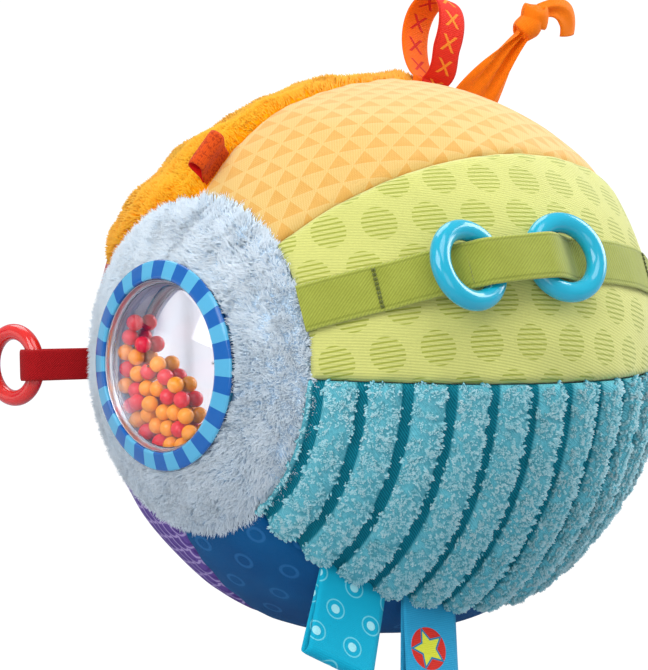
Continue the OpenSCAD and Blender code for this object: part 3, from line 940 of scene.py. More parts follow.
# %% Teal tufts
teal_pile = pile_finish(
    "teal chenille", paint(22, 124, 144), paint(128, 206, 218), paint(228, 247, 249), 0.16, 0.8
)
TRIES, CLUMPS, BLADES, CHENILLE_WIDTH = 17000, 6000, 6, 0.74
p, a = scatter(TRIES, TEAL_LOW - 1.8, TEAL_HIGH)
keep = (a > TEAL_LOW - scallop(p) + 0.25) & (rib_height(p, a) > 0.42)
p, a = p[keep][:CLUMPS], a[keep][:CLUMPS]
clump_up, clump_away, clump_round = direction(p, a), away(p, a), around(p, a)
lean = unit(clump_up + across_rib(p)[:, None] * clump_away + dice.normal(0, 0.24, (CLUMPS, 3)))
clump_base = clump_up * (teal_radius(p, a) - 0.5)[:, None]
clump_tall = dice.uniform(0.9, 1.65, CLUMPS)
# Taller clumps are paler and shorter ones darker: painted highlight on tall tufts and painted shade
# in the pits. The ripple and the noise are random tone.
clump_tone_and_shade = 0.42 + 0.2 * ripple(clump_up * BALL_R, 2.6, 28) + 0.35 * (clump_tall - 1.3)
clump_tone_and_shade = clump_tone_and_shade + dice.normal(0, 0.14, CLUMPS)
roots, heads, tones = clump_blades(
    clump_base, lean, clump_away, clump_round, clump_tall[:, None], clump_tone_and_shade, BLADES,
    0.4, 0.75, 0.1, dice,
)
teal_count = tuft_pieces(
    "teal_chenille", roots, heads, tones, CHENILLE_WIDTH, 3, 40, teal_pile
)
print("teal tufts:", teal_count)

# %% [markdown]
# ## Plush discs
#
# Long soft pile hangs over the panels' edges and leans out from the frame. Its blades stand in
# clumps that share a lean and close towards one head, as real plush does once it has been
# stroked.

# %% Disc grounds
def revolve(profile, steps):
    """Points and quads of a closed (radius, height) outline turned about the window's axis."""
    profile = np.asarray(profile, float)
    t = np.linspace(0, 2 * np.pi, steps, endpoint=False)
    r, z = profile[:, 0][:, None], profile[:, 1][:, None]
    grid = np.stack([r * np.cos(t), r * np.sin(t), z + 0 * t], -1)
    return grid.reshape(-1, 3), grid_faces(len(profile), steps, True, True)


def disc_ground(name, inner_polar, sign, node):
    """Rounded ground of a disc: a closed outline turned about the window's axis."""
    t = np.linspace(0, 1, 26)
    polar = inner_polar + (FRONT_EDGE - 0.1 - inner_polar) * t
    top = 84.0 - shoulder((1 - t) * (FRONT_EDGE - inner_polar) * 1.484, 3.5, 2.4)
    outline = [(r * np.sin(np.radians(q)), r * np.cos(np.radians(q))) for r, q in zip(top, polar)]
    under = [(CORE_R * np.sin(np.radians(q)), CORE_R * np.cos(np.radians(q))) for q in polar[::-1]]
    outline = np.array(outline + under)
    outline[:, 1] *= sign
    points, quads = revolve(outline, 180)
    piece = make_piece(name, points, quads if sign > 0 else quads[:, ::-1])
    finish_piece(piece, plush_ground, [node])
    return piece


plush_pile = pile_finish(
    "pale blue plush", paint(192, 219, 243), paint(224, 239, 251), paint(250, 253, 255), 0.05, 0.5
)
plush_ground = ground_finish("pale blue ground", paint(184, 212, 238), paint(206, 226, 243))
disc_ground("front_plush_disc", 19.4, 1, "front_disc")
disc_ground("back_plush_disc", 0.05, -1, "back_disc")
print("disc edge in degrees:", FRONT_EDGE)

# %% Long pile
PILE_R = 83.5


def long_pile(name, clumps, blades, inner_polar, sign, width, parts, seed):
    """Clumps that lean out over the disc's seam and stand up again at its inner edge."""
    rng = np.random.default_rng(seed)
    p, a = scatter(clumps, 0, 360, inner_polar, FRONT_EDGE + 0.25, rng)
    n, e, f = direction(p, a), away(p, a), around(p, a)
    spot = n * BALL_R
    edge = ease((p - FRONT_EDGE + 3.4) / 3.4)[:, None]
    lip = ease((inner_polar + 3.6 - p) / 3.6)[:, None]
    lean_e = 0.26 * ripple(spot, 11, seed + 1)[:, None] * (1 - lip) + 1.05 * edge - 0.1 * lip
    lean_f = 0.3 * ripple(spot, 9, seed + 2)[:, None] * (1 - 0.6 * lip)
    lean = unit(n + lean_e * e + lean_f * f + rng.normal(0, 0.15, (clumps, 3)))
    tall = rng.uniform(2.8, 3.3, clumps)[:, None] * (1 + 0.2 * lip)
    base = n * (PILE_R - 1.4 * edge + 0.5 * lip)
    tone = 0.5 + 0.1 * ripple(spot, 7, seed + 3) + rng.normal(0, 0.06, clumps)
    roots, heads, tones = clump_blades(
        base, lean, e, f, tall, np.clip(tone, 0, 1), blades, 0.75, 0.55, 0.22, rng
    )
    for xyz in (roots, heads):
        xyz[:, 2] *= sign
    return tuft_pieces(
        name, roots, heads, tones, width, parts, seed + 9, plush_pile
    )


front_blades = long_pile("front_pile", 6000, 8, 20.3, 1, 0.3, 3, 60)
back_blades = long_pile("back_pile", 5000, 4, 0.4, -1, 0.62, 2, 80)
print("long blades:", front_blades, "in front,", back_blades, "at the back")

# %% [markdown]
# ## Bead window
#
# A moulded tray holds the window: mirror foil on its floor, loose beads, a clear dome and the
# striped frame on top. Tray and foil are plain enough for the solids themselves to show, so they
# only get materials. Frame and dome are outlines turned about the window's axis.

# %% Tray and foil
FLOOR_Z, FOIL_Z, TRAY_IN_R = 74.82, 75.12, 25.54


def foil_finish():
    """Mirror foil with faint waves."""
    f = Finish("mirror foil", Metallic=1.0)
    spot = f.node("ShaderNodeTexCoord", out="Object")
    f.set(Base_Color=f.mix(f.noise(spot, 60.0, 2.0), paint(222, 222, 230), paint(236, 236, 240)))
    f.set(Roughness=f.noise(spot, 90.0, 2.0) * 0.05 + 0.04)
    f.relief(f.noise(spot, 55.0, 1.0), 0.05, 0.35)
    return f.material


def tray_finish():
    """White moulded tray, coloured a darker bluish grey as painted shade in the window's recess."""
    f = Finish("white tray", Specular_IOR_Level=0.5)
    spot = f.node("ShaderNodeTexCoord", out="Object")
    # Painted shade: the white tray is coloured bluish grey, as it looks in the shade under the
    # frame and dome.
    f.set(Base_Color=f.mix(f.noise(spot, 120.0, 2.0), paint(160, 165, 196), paint(184, 188, 212)))
    f.set(Roughness=f.noise(spot, 300.0, 3.0) * 0.1 + 0.25)
    return f.material


for node, material in (("window_tray", tray_finish()), ("mirror_foil", foil_finish())):
    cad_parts[node].data.materials.clear()
    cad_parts[node].data.materials.append(material)
print("tray floor and foil at:", FLOOR_Z, FOIL_Z)

# %% [markdown]
# ### Striped frame
#
# A hard ring with a conical face that slopes down to the pile. Its eighteen dark and eighteen
# light stripes follow the angle round the window, so they need no unwrapped picture.

# %% Striped frame
# Where the first dark stripe's middle lies, in degrees round the window
STRIPE_AT, STRIPE_STEP = 7.5, 20.0


def striped_rim_finish():
    """Eighteen dark and eighteen light blue segments round the window's axis, with painted shade in
    dusky blue on the inner wall under the crest.
    """
    f = Finish("blue rim", Coat_Weight=0.35, Coat_Roughness=0.05, Specular_IOR_Level=0.35)
    place = f.field("place")
    x, y, height = f.parts(place)
    turn = f.maths("ARCTAN2", y, x) * (180 / np.pi)
    from_dark = abs(f.nearest(turn - STRIPE_AT, STRIPE_STEP))
    colour = f.mix(f.step(5 - from_dark, -0.16, 0.16), paint(86, 174, 210), paint(0, 88, 168))
    speck = f.noise(place, 0.5, 3.0)
    colour = f.mix(speck * 0.12, colour, paint(60, 150, 214))
    reach = f.length(x, y)
    # Painted shade: the inner wall under the crest and the dome's lip is coloured a dusky blue.
    inner_wall_shade = (1 - f.step(reach, 25.3, 25.6)) * (1 - f.step(height, 83.1, 83.5))
    f.set(Base_Color=f.mix(inner_wall_shade, colour, paint(74, 84, 136)))
    f.set(Roughness=speck * 0.1 + 0.1)
    f.relief(f.noise(place, 0.2, 2.0), 0.08, 0.5)
    return f.material


# (radius, height) of the frame's section: outer wall, sloping face, crest, inner wall and foot
rim_outline = [
    (27.4, 79.8), (28.5, 80.75), (29.4, 81.55), (29.85, 82.0), (29.99, 82.4), (29.8, 82.82),
    (29.5, 83.02), (28.6, 83.3), (27.6, 83.62), (26.6, 83.93), (25.7, 84.18), (25.3, 84.28),
    (25.02, 84.29), (24.8, 84.2), (24.64, 84.02), (24.56, 83.75), (24.56, 83.3), (24.62, 82.9),
    (24.8, 82.5), (25.1, 81.9), (25.3, 81.3), (26.2, 80.6), (26.95, 80.3), (26.95, FLOOR_Z + 0.1),
    (29.0, FLOOR_Z + 0.1),
]
points, quads = revolve(rim_outline, 288)
rim = make_piece("striped_frame", points, quads[:, ::-1])
finish_piece(rim, striped_rim_finish(), ["window_frame"])
print("frame quads:", len(quads))

# %% [markdown]
# ### Clear dome
#
# A thin shell of clear plastic, part of a sphere, with a rolled lip that snaps under the frame.
# Real glass materials stop lamp light at their surface and would leave the beads dark. So for
# shadow rays alone the dome turns transparent.

# %% Dome
DOME_R, DOME_Z, DOME_WALL, DOME_OUT_R = 46.3, 41.52, 1.2, 22.9


def dome_finish():
    """Clear dome that lets lamp light through to the beads; its lip is a little milky."""
    f = Finish(
        "clear dome", Base_Color=paint(252, 253, 255), Transmission_Weight=1.0, IOR=1.45,
        Roughness=0.0,
    )
    shadow = f.node("ShaderNodeLightPath", out="Is Shadow Ray")
    clear = f.node("ShaderNodeBsdfTransparent", None, {"Color": (0.97, 0.98, 1, 1)})
    shader = Number(f, f.shader.outputs[0])
    x, y, _ = f.parts(f.field("place"))
    lip = f.step(f.length(x, y), 23.3, 23.9) * 0.5
    milk = f.node("ShaderNodeBsdfGlossy", None, {"Color": (0.86, 0.88, 0.94, 1), "Roughness": 0.3})
    shader = f.node("ShaderNodeMixShader", None, {0: lip, 1: shader, 2: milk})
    blend = f.node("ShaderNodeMixShader", None, {0: shadow, 1: shader, 2: clear})
    f.tree.links.new(blend.socket, f.tree.nodes["Material Output"].inputs["Surface"])
    return f.material


def cap(radius, sweep):
    """Section of a sphere's cap out to DOME_OUT_R: r = R sin q, z = z0 + R cos q."""
    q = np.arcsin(DOME_OUT_R / radius) * sweep
    return [tuple(rz) for rz in np.stack([radius * np.sin(q), DOME_Z + radius * np.cos(q)], -1)]


dome_lip = [
    (23.4, 81.6), (23.75, 81.75), (23.98, 82.2), (24.08, 82.8), (24.14, 83.3), (24.24, 83.55),
    (24.34, 83.55), (24.42, 83.3), (24.46, 82.8), (24.62, 82.3), (24.85, 81.8), (25.1, 81.2),
    (25.15, 80.2), (25.15, 79.4), (24.0, 79.4), (23.6, 80.1),
]
dome_sweep = np.linspace(0.0005, 1, 40)
dome_outline = cap(DOME_R, dome_sweep) + dome_lip + cap(DOME_R - DOME_WALL, dome_sweep[::-1])
points, quads = revolve(dome_outline, 144)
dome = make_piece("clear_dome", points, quads)
finish_piece(dome, dome_finish(), ["window_dome"])
print("dome top at:", DOME_Z + DOME_R)

# %% [markdown]
# ### Beads
#
# Loose glossy beads lie in a heap. A physics run could drop them, but the heap has to lie as in
# the photograph, so they start at listed places and a few hundred small pushes part those that
# overlap.

# %% Where the beads lie
BEAD_R = 2.4
red_at = [
    (-20.4, 5.2), (-21.1, 0.6), (-19.8, -8.7), (-9.7, -7.2), (-3.3, -5.1), (-14.1, -16.4),
    (-9.9, -14.7), (-1.3, -11.9), (5.0, -9.5), (-5.6, -21.1), (-0.7, -21.7), (5.7, -16.6),
    (-15.5, -1.0), (-14.0, -13.0),
]
yellow_at = [
    (-20.5, -3.9), (-14.7, -8.7), (-7.8, -4.6), (-17.8, -13.3), (-6.1, -10.3), (0.8, -7.5),
    (-10.9, -19.4), (-5.4, -16.2), (1.3, -16.2), (7.5, -13.6), (4.7, -20.9), (10.5, -17.1),
    (-16.0, -5.0), (-11.0, -11.0), (-3.0, -19.0), (3.0, -13.0), (9.0, -20.0), (-1.0, -15.0),
    (-8.0, -17.0),
]
HIGH_BEAD_Z, LOW_BEAD_Z = 78.9, 77.6
LOW_BEADS = [12, 13] + list(range(26, 33))


def apart(beads):
    """Offsets and distances between all beads; a bead is kept far from itself."""
    gap = beads[:, None] - beads[None]
    return gap, np.linalg.norm(gap, axis=2) + np.eye(len(beads)) * 99


def settle_beads(beads, rounds=600):
    """Pushes overlapping beads apart while they sink, inside the tray's wall, foil and dome."""
    middle = np.array([0, 0, DOME_Z])
    roof = DOME_R - DOME_WALL - BEAD_R - 0.05
    for _ in range(rounds):
        gap, far = apart(beads)
        push = np.clip(2 * BEAD_R + 0.03 - far, 0, None) / far
        beads = beads + 0.35 * (push[..., None] * gap).sum(1)
        beads[:, 2] = np.maximum(beads[:, 2] - 0.01, FOIL_Z + BEAD_R + 0.02)
        out = np.hypot(beads[:, 0], beads[:, 1])
        beads[:, :2] *= np.minimum(1, (TRAY_IN_R - BEAD_R - 0.05) / out)[:, None]
        up = beads - middle
        beads = middle + up * np.minimum(1, roof / np.linalg.norm(up, axis=1))[:, None]
    return beads


beads = np.array([(x, y, HIGH_BEAD_Z) for x, y in red_at + yellow_at])
beads[LOW_BEADS, 2] = LOW_BEAD_Z
beads = settle_beads(beads)
print("beads:", len(beads), "closest centres:", round(float(apart(beads)[1].min()), 2))

# %% Beads of two colours
def gloss_finish(name, colour, coat=0.4, rough=0.16, spec=0.5):
    """Glossy moulded plastic: very slight colour drift, handling marks in its roughness."""
    f = Finish(name, Coat_Roughness=0.06, Specular_IOR_Level=spec, Coat_Weight=coat)
    place = f.field("place")
    f.set(Base_Color=f.mix(f.noise(place, 0.12, 2.0), shade(colour, 0.93), paint(*colour)))
    f.set(Roughness=f.noise(place, 0.8, 3.0) * 0.08 + (rough - 0.04))
    f.relief(f.noise(place, 0.25, 2.0), 0.06, 0.5)
    return f.material


BEAD_ROWS, BEAD_COLS = 15, 24
bead = BEAD_R * direction(*sphere_grid(BEAD_ROWS, BEAD_COLS)).reshape(-1, 3)
bead_faces = grid_faces(BEAD_ROWS, BEAD_COLS, wrap_cols=True)


def bead_set(name, centres, material, node):
    """Beads of one colour as one piece."""
    points = (centres[:, None] + bead[None]).reshape(-1, 3)
    quads = (bead_faces[None] + (np.arange(len(centres)) * len(bead))[:, None, None]).reshape(-1, 4)
    return finish_piece(make_piece(name, points, quads), material, [node], "beads")


red_bead_gloss = gloss_finish("red bead", (226, 16, 40), 0.2, 0.16, 0.3)
yellow_bead_gloss = gloss_finish("yellow bead", (250, 150, 4), 0.2, 0.16, 0.3)
reds = len(red_at)
bead_set("red_bead_heap", beads[:reds], red_bead_gloss, "red_beads")
bead_set("yellow_bead_heap", beads[reds:], yellow_bead_gloss, "yellow_beads")
print("red and yellow beads:", reds, len(beads) - reds)

# %% [markdown]
# ## Green strap and its two rings
#
# The strap is one folded band, woven through both rings: over one side of a ring, under the other.
# Cloth simulation would have to be coaxed round the rings, so the band's height over the twill is
# written down at a few stations and eased between them. It is laid in four pieces.

# %% Stations of the strap
STRAP_AZ, STRAP_W, STRAP_T, STRAP_LIES = 36.9, 13.4, 1.0, 0.8
STRAP_FROM, STRAP_TO = 34.6, 145.4
RING_MID, RING_TUBE = 10.35, 2.9
LEFT_AT, RIGHT_AT, LEFT_LEAN, RIGHT_LEAN = 65.6, 87.0, 24.0, -8.0


def ring_lift(lean):
    """Height of a ring's middle when its lower side lies on the cloth."""
    l = np.radians(abs(lean))
    return 0.3 + RING_TUBE + RING_MID * np.sin(l) - (RING_MID * np.cos(l)) ** 2 / (2 * GREEN_R)


def ring_reach(lean):
    """Degrees along the ball from a ring's middle to the middle of its tube."""
    return np.degrees(RING_MID * np.cos(np.radians(lean)) / (GREEN_R + 2 * RING_TUBE))


left_lift, right_lift = ring_lift(LEFT_LEAN), ring_lift(RIGHT_LEAN)
left_reach, right_reach = ring_reach(LEFT_LEAN), ring_reach(RIGHT_LEAN)
# (polar angle, height in mm): under the left ring's near side, over its far side, over the right
# ring's near side and under its far side
stations = np.array([
    (STRAP_FROM, STRAP_LIES), (49.98, STRAP_LIES),
    (LEFT_AT - 0.6 * left_reach, left_lift - 0.7 * RING_TUBE), (LEFT_AT, left_lift),
    (LEFT_AT + 0.6 * left_reach, left_lift + 0.5 * RING_TUBE),
    (RIGHT_AT - 0.85 * right_reach, right_lift + 1.2 * RING_TUBE),
    (RIGHT_AT + 0.75 * right_reach, STRAP_LIES), (RIGHT_AT + 2 * right_reach, STRAP_LIES),
    (STRAP_TO, STRAP_LIES),
])


def strap_height(at):
    """Height of the strap's middle over the twill: eased between its stations."""
    i = np.clip(np.searchsorted(stations[:, 0], at) - 1, 0, len(stations) - 2)
    t = (at - stations[i, 0]) / (stations[i + 1, 0] - stations[i, 0])
    return stations[i, 1] + (stations[i + 1, 1] - stations[i, 1]) * ease(t)


def strap_middle(at):
    """Points along the strap's middle line."""
    at = np.asarray(at, float)
    radius = GREEN_R + strap_height(at) + settled(direction(at, STRAP_AZ + 0 * at) * BALL_R)
    return direction(at, STRAP_AZ + 0 * at) * radius[:, None]


def run_length(line):
    """Length in mm along a line of points, from 0 at its start."""
    return np.concatenate([[0], np.cumsum(np.linalg.norm(np.diff(line, axis=0), axis=1))])


path_at = np.linspace(STRAP_FROM, STRAP_TO, 600)
path_s = run_length(strap_middle(path_at))
print("strap length in mm:", round(float(path_s[-1]), 1))

# %% A band of cloth
def band(name, middle, across, half, thick, cols=15, along=None, wave=0.0):
    """A band of cloth: a closed thin shell round a middle line, with rounded selvedges.

    middle (n, 3), across (n, 3) of length 1, half (n,) half width. wave (n, cols) lifts the
    cloth off the middle line, along is the length in mm from the band's start."""
    rows = len(middle)
    run = np.gradient(middle, axis=0)
    up = unit(np.cross(run, across))
    c = np.linspace(-1, 1, cols)
    half = np.broadcast_to(half, (rows,))[:, None, None]
    lift = np.broadcast_to(wave, (rows, cols))[..., None]
    centre = middle[:, None] + across[:, None] * half * c[None, :, None] + up[:, None] * lift
    edge = (0.35 + 0.65 * np.sqrt(np.clip(1 - np.abs(c) ** 8, 0, 1)))[None, :, None]
    upper = centre + up[:, None] * edge * thick / 2
    lower = centre - up[:, None] * edge * thick / 2
    if along is None:
        along = run_length(middle)
    cloth = np.stack([np.broadcast_to(along[:, None], (rows, cols)), half[..., 0] * c[None]], -1)
    points, quads = closed_shell(upper, lower)
    side = np.repeat([1.0, -1.0], rows * cols)
    cloth = np.tile(cloth.reshape(-1, 2), (2, 1))
    return make_piece(name, points, quads, cloth=cloth, extra={"side": side})


def cloth_area(piece):
    """Area of one face of a thin band: half of its whole surface."""
    area = np.zeros(len(piece.data.polygons))
    piece.data.polygons.foreach_get("area", area)
    return float(area.sum()) / 2


print("selvedge thickness in mm:", 0.35 * STRAP_T)

# %% Strap
def strap_twill_finish():
    """Olive twill strap: diagonal ribs, a pressed fold near each edge with painted shade in it, and
    paler worn edges.
    """
    f = Finish("olive twill", Roughness=0.85, Sheen_Weight=0.25, Specular_IOR_Level=0.15)
    along, across, place = f.where()
    twill = f.wave(along * 0.9 + across, 1.0)
    fibre = f.noise(place, 1.2, 4.0, 0.7)
    edge = f.step(abs(across), 5.4, 6.7)
    pressed_fold_shade = 1 - f.step(abs(abs(across) - 5.6), 0.1, 0.5)
    cloth = f.mix(f.noise(place, 0.12, 3.0), paint(154, 160, 58), paint(178, 184, 80))
    cloth = f.mix(twill * 0.3 + fibre * 0.4, cloth, paint(112, 120, 36))
    cloth = f.mix(edge * 0.5 * fibre, cloth, paint(196, 200, 104))
    # Painted shade along the pressed fold near each edge.
    cloth = f.mix(pressed_fold_shade * 0.35, cloth, paint(112, 120, 40))
    f.set(Base_Color=cloth)
    f.relief(twill * 0.6 + fibre * 0.5 - pressed_fold_shade * 0.8, 0.16, 0.9)
    return f.material


olive_twill = strap_twill_finish()
# For each part: its end, the bodies it bends between, and where the bend starts and ends
STRAP_PARTS = [
    (LEFT_AT, ("ball", "left_ring"), (51.0, 61.5)),
    ((LEFT_AT + RIGHT_AT) / 2, ("left_ring", "ball"), (69.5, 75.8)),
    (RIGHT_AT, ("ball", "right_ring"), (76.8, 83.0)),
    (STRAP_TO, ("right_ring", "ball"), (91.0, 100.0)),
]
part_from = STRAP_FROM
for k, (part_to, owners, bend) in enumerate(STRAP_PARTS):
    at = np.linspace(part_from, part_to, 60 if k < 3 else 90)
    at = np.sort(np.append(at, [part_from + 0.01, part_to - 0.01]))
    slack = 0.25 * np.sin(at * 0.55) * ease((at - 50) / 4) * ease((120 - at) / 4)
    piece = band(
        f"strap_part_{k + 1}", strap_middle(at), -around(at, STRAP_AZ), STRAP_W / 2, STRAP_T, 21,
        along=np.interp(at, path_at, path_s), wave=slack[:, None] * np.linspace(-1, 1, 21) * 0.5,
    )
    finish_piece(piece, olive_twill, ["green_strap"] if k == 0 else [], None)
    flat = (STRAP_W / 1000, cloth_area(piece) / (STRAP_W / 1000))
    print(piece.name, "flat in mm:", [round(x * 1000, 1) for x in flat])
    start, end = to_part(strap_middle(np.array(bend)))
    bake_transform(piece)
    part_from = part_to

# %% [markdown]
# ### Thread
#
# Two double rows of stitches hold the strap down. Each stitch is a short arch of thread: a bump
# would do from afar, but thread stands off the cloth and throws a small shadow.

# %% Rows of stitches
THREAD_R, STITCH_STEP, STITCHES, SAMPLES, SIDES = 0.24, 1.32, 9, 9, 8


def thread_finish(name, deep, pale):
    """Twisted sewing thread."""
    f = Finish(name, Roughness=0.6, Sheen_Weight=0.2, Specular_IOR_Level=0.3)
    along, across, _ = f.parts(f.field("cloth"))
    twist = f.wave(along + across, 0.45)
    f.set(Base_Color=f.mix(twist, deep, pale))
    f.relief(twist, 0.12)
    return f.material


row_at = np.repeat([49.3 - 0.2, 49.3 + 0.2, 120.7 - 0.2, 120.7 + 0.2], STITCHES)[:, None]
row_y = np.tile((np.arange(STITCHES) - 4) * STITCH_STEP, 4)[:, None]
arch = np.linspace(0, np.pi, SAMPLES)[None]
row_up = direction(row_at + 0 * arch, STRAP_AZ)
row_r = GREEN_R + (1.35 + 0.28 * np.sin(arch)) + settled(row_up * BALL_R)
row_round = around(row_at + 0 * arch, STRAP_AZ)
stitch = row_up * row_r[..., None] + row_round * (row_y + 0.5 * np.cos(arch))[..., None]
stitch_run = unit(np.gradient(stitch, axis=1))
stitch_a = np.cross(stitch_run, unit(stitch))
stitch_b = np.cross(stitch_run, stitch_a)
s = np.linspace(0, 2 * np.pi, SIDES, endpoint=False)[None, None, :, None]
tube = np.cos(s) * stitch_a[:, :, None] + np.sin(s) * stitch_b[:, :, None]
tube = stitch[:, :, None] + THREAD_R * tube
count = len(stitch)
one = grid_faces(SAMPLES, SIDES, wrap_cols=True)[:, ::-1]
quads = np.concatenate([one + i * SAMPLES * SIDES for i in range(count)])
cloth = np.stack(np.broadcast_arrays(np.arange(SAMPLES)[None, :, None] * 0.16, s[..., 0] / 3), -1)
cloth = np.broadcast_to(cloth, (count, SAMPLES, SIDES, 2)).reshape(-1, 2)
stitches = make_piece("strap_thread", tube.reshape(-1, 3), quads, cloth=cloth)
thread = thread_finish("olive thread", paint(92, 100, 30), paint(122, 130, 46))
finish_piece(stitches, thread, ["strap_stitches"])
print("stitches:", count)

# %% [markdown]
# ### Turquoise rings
#
# Two glossy plastic rings. A ring is the one shape that every modeller has as a primitive, yet the
# formula puts its middle and its tilt straight where the strap's stations need them.

# %% Turquoise rings
def torus(centre, axis, mid_r, tube_r, turns=144, sides=48):
    """Ring c + (R + r cos v)(cos u A + sin u B) + r sin v N about the unit axis N."""
    axis = unit(axis)
    a = unit(np.cross(axis, [0.31, 0.77, 0.55]))
    b = np.cross(axis, a)
    u = np.linspace(0, 2 * np.pi, turns, endpoint=False)[:, None, None]
    v = np.linspace(0, 2 * np.pi, sides, endpoint=False)[None, :, None]
    grid = centre + (mid_r + tube_r * np.cos(v)) * (np.cos(u) * a + np.sin(u) * b)
    grid = grid + tube_r * np.sin(v) * axis
    return grid.reshape(-1, 3), grid_faces(turns, sides, True, True)


turquoise_gloss = gloss_finish("turquoise plastic", (14, 172, 202), 0.4, 0.16)


def slide_ring(name, at, lean, lift, body, node):
    """A turquoise ring woven onto the strap, leaning out of the surface about the strap's width."""
    n, e = direction(at, STRAP_AZ), away(at, STRAP_AZ)
    l = np.radians(lean)
    axis = n * np.cos(l) + e * np.sin(l)
    points, quads = torus(n * (GREEN_R + lift), axis, RING_MID, RING_TUBE)
    return finish_piece(
        make_piece(name, points, quads), turquoise_gloss, [node], body
    )


slide_ring("left_slide_ring", LEFT_AT, LEFT_LEAN, left_lift, "left_ring", "left_ring")
slide_ring("right_slide_ring", RIGHT_AT, RIGHT_LEAN, right_lift, "right_ring", "right_ring")
print("ring outside in mm:", 2 * (RING_MID + RING_TUBE))

# %% [markdown]
# ## Ribbons and tabs
#
# Each is a real band of cloth whose two ends lie together in the seam. Cloth simulation would let
# it hang, but woven ribbon is stiff and these stand, so a middle line gives their shape.
# `loop_line` is a folded tab: a small circle at the seam, a bigger one at the fold and the tangents
# between. `oval_line` is an open loop.

# %% Lines of loops and tabs
def stand(polar, azimuth, radius, lean):
    """Origin, width direction, height direction and thickness direction of a ribbon at a seam."""
    n, e, f = direction(polar, azimuth), away(polar, azimuth), around(polar, azimuth)
    l = np.radians(lean)
    return n * radius, e, n * np.cos(l) + f * np.sin(l), f * np.cos(l) - n * np.sin(l)


def loop_line(root, fold, reach, samples=90):
    """Middle line (x, y) of a loop from the seam, round the fold and back."""
    slope = np.arcsin((fold - root) / reach)
    t = np.linspace(-slope, np.pi + slope, samples // 2)
    arc = np.stack([fold * np.cos(t), reach + fold * np.sin(t)], -1)
    foot_a = root * np.array([np.cos(slope), -np.sin(slope)])
    foot_b = foot_a * [-1, 1]
    up = np.linspace(0, 1, samples // 4, endpoint=False)[:, None]
    rise = foot_a + (arc[0] - foot_a) * up
    fall = arc[-1] + (foot_b - arc[-1]) * (1 - up[::-1])
    into_a = foot_a + np.array([0.0, -1.0]) * np.linspace(4.5, 0, 8, endpoint=False)[:, None]
    into_b = foot_b + np.array([0.0, -1.0]) * np.linspace(4.5, 0, 8, endpoint=False)[::-1][:, None]
    return np.concatenate([into_a, rise, arc, fall, into_b])


def oval_line(half, high, samples=90):
    """Middle line (x, y) of an open loop, scaled to its half width.

    x = sin(q) sqrt(sin(q / 2)), y = high (1 - cos(q)) / 2, sunk 1.2 mm into the seam."""
    q = np.linspace(0.17, 2 * np.pi - 0.17, samples)
    x = np.sin(q) * np.sqrt(np.sin(q / 2))
    line = np.stack([x * half / x.max(), high * (1 - np.cos(q)) / 2 - 1.2], -1)
    foot = np.array([0.0, -1.0]) * np.linspace(3.3, 0, 8, endpoint=False)[:, None]
    return np.concatenate([line[0] + foot, line, line[-1] + foot[::-1]])


def place_line(spot, line):
    """A loop's (x, y) line in the ball's frame."""
    origin, _, high, thick = spot
    return origin + line[:, :1] * thick + line[:, 1:] * high


def edge_of(spot, low, high_at):
    """Start and end of a blend from the seam up a ribbon, in the part's frame."""
    origin, _, high, _ = spot
    return to_part(origin + high * low).tolist(), to_part(origin + high * high_at).tolist()


print("length of a 25 mm tab's line:", len(loop_line(0.45, 1.9, 25)), "points")

# %% Ribbons in their seams
def ribbon_loop(name, spot, line, width, thick, material, node, skew=0.0):
    """A folded ribbon standing in a seam, with its foot in the ball.

    skew is how far, in mm, the foot of its second limb lies beside the first one's."""
    middle = place_line(spot, line)
    beside = skew * ease((9 - line[:, 1]) / 9) * (line[:, 0] < 0)
    middle = middle + spot[1] * beside[:, None]
    across = np.broadcast_to(spot[1], middle.shape)
    piece = band(name, middle, across, width / 2, thick, 17)
    finish_piece(piece, material, [node], None)
    edge_of(spot, -0.6, 1.6)
    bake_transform(piece)
    flat = (width / 1000, cloth_area(piece) / (width / 1000))
    print(name, "flat in mm:", [round(x * 1000, 1) for x in flat])
    return piece


def woven(f, along, place, deep, pale, pitch=0.55):
    """Ribbed ribbon ground: colour and height of its fine cross ribs."""
    rib = f.wave(along, pitch)
    fibre = f.noise(place, 3.0, 3.0, 0.7)
    colour = f.mix(rib * 0.3 + fibre * 0.45, pale, deep)
    return colour, rib * 0.6 + fibre * 0.5


# %% [markdown]
# ### Ribbon with crosses
#
# Red outside with orange crosses, orange inside with red ones. `side` on the points tells the two
# faces apart. A cross is the smaller of the distances to two diagonals.

# %% Cross ribbon
def cross_ribbon_finish():
    """Outer face red with orange crosses, inner face orange with red crosses."""
    f = Finish("cross ribbon", Roughness=0.7, Sheen_Weight=0.04, Specular_IOR_Level=0.15)
    along, across, place = f.where()
    a = f.nearest(along - 2.0, 7.4)
    one = abs(a - across) * 0.7
    two = abs(a + across) * 0.7
    near = 1 - f.step(abs(a), 2.3, 2.5)
    cross = (1 - f.step(f.maths("MINIMUM", one, two), 0.36, 0.52)) * near
    selvedge = f.step(abs(across), 4.7, 5.0)
    outer, height = woven(f, along, place, paint(204, 26, 12), paint(236, 50, 26))
    inner, _ = woven(f, along, place, paint(232, 88, 0), paint(246, 118, 4))
    outer = f.mix(cross, outer, paint(242, 138, 36))
    outer = f.mix(selvedge * 0.6, outer, paint(190, 28, 24))
    inner = f.mix(cross, inner, paint(208, 40, 26))
    f.set(Base_Color=f.mix(f.step(f.value("side"), -0.2, 0.2), inner, outer))
    f.relief(height + cross * 0.8, 0.12)
    return f.material


cross_spot = stand(104, SEAM["yellow_orange"], 86.64, 5)
ribbon_loop(
    "cross_ribbon_loop", cross_spot, oval_line(7.7, 25.6), 11, 0.7, cross_ribbon_finish(),
    "cross_loop", skew=3.0,
)

# %% [markdown]
# ### Turquoise ribbon and blue tab
#
# Two ribbons stand out of the lower seam under the teal ribs. The dots and their rings are
# distances on a lattice. The star is one straight edge, folded into five sectors.

# %% Turquoise ribbon
# How far below the seam the two lower ribbons are sewn in, in degrees
UNDER_SEAM = 0.81


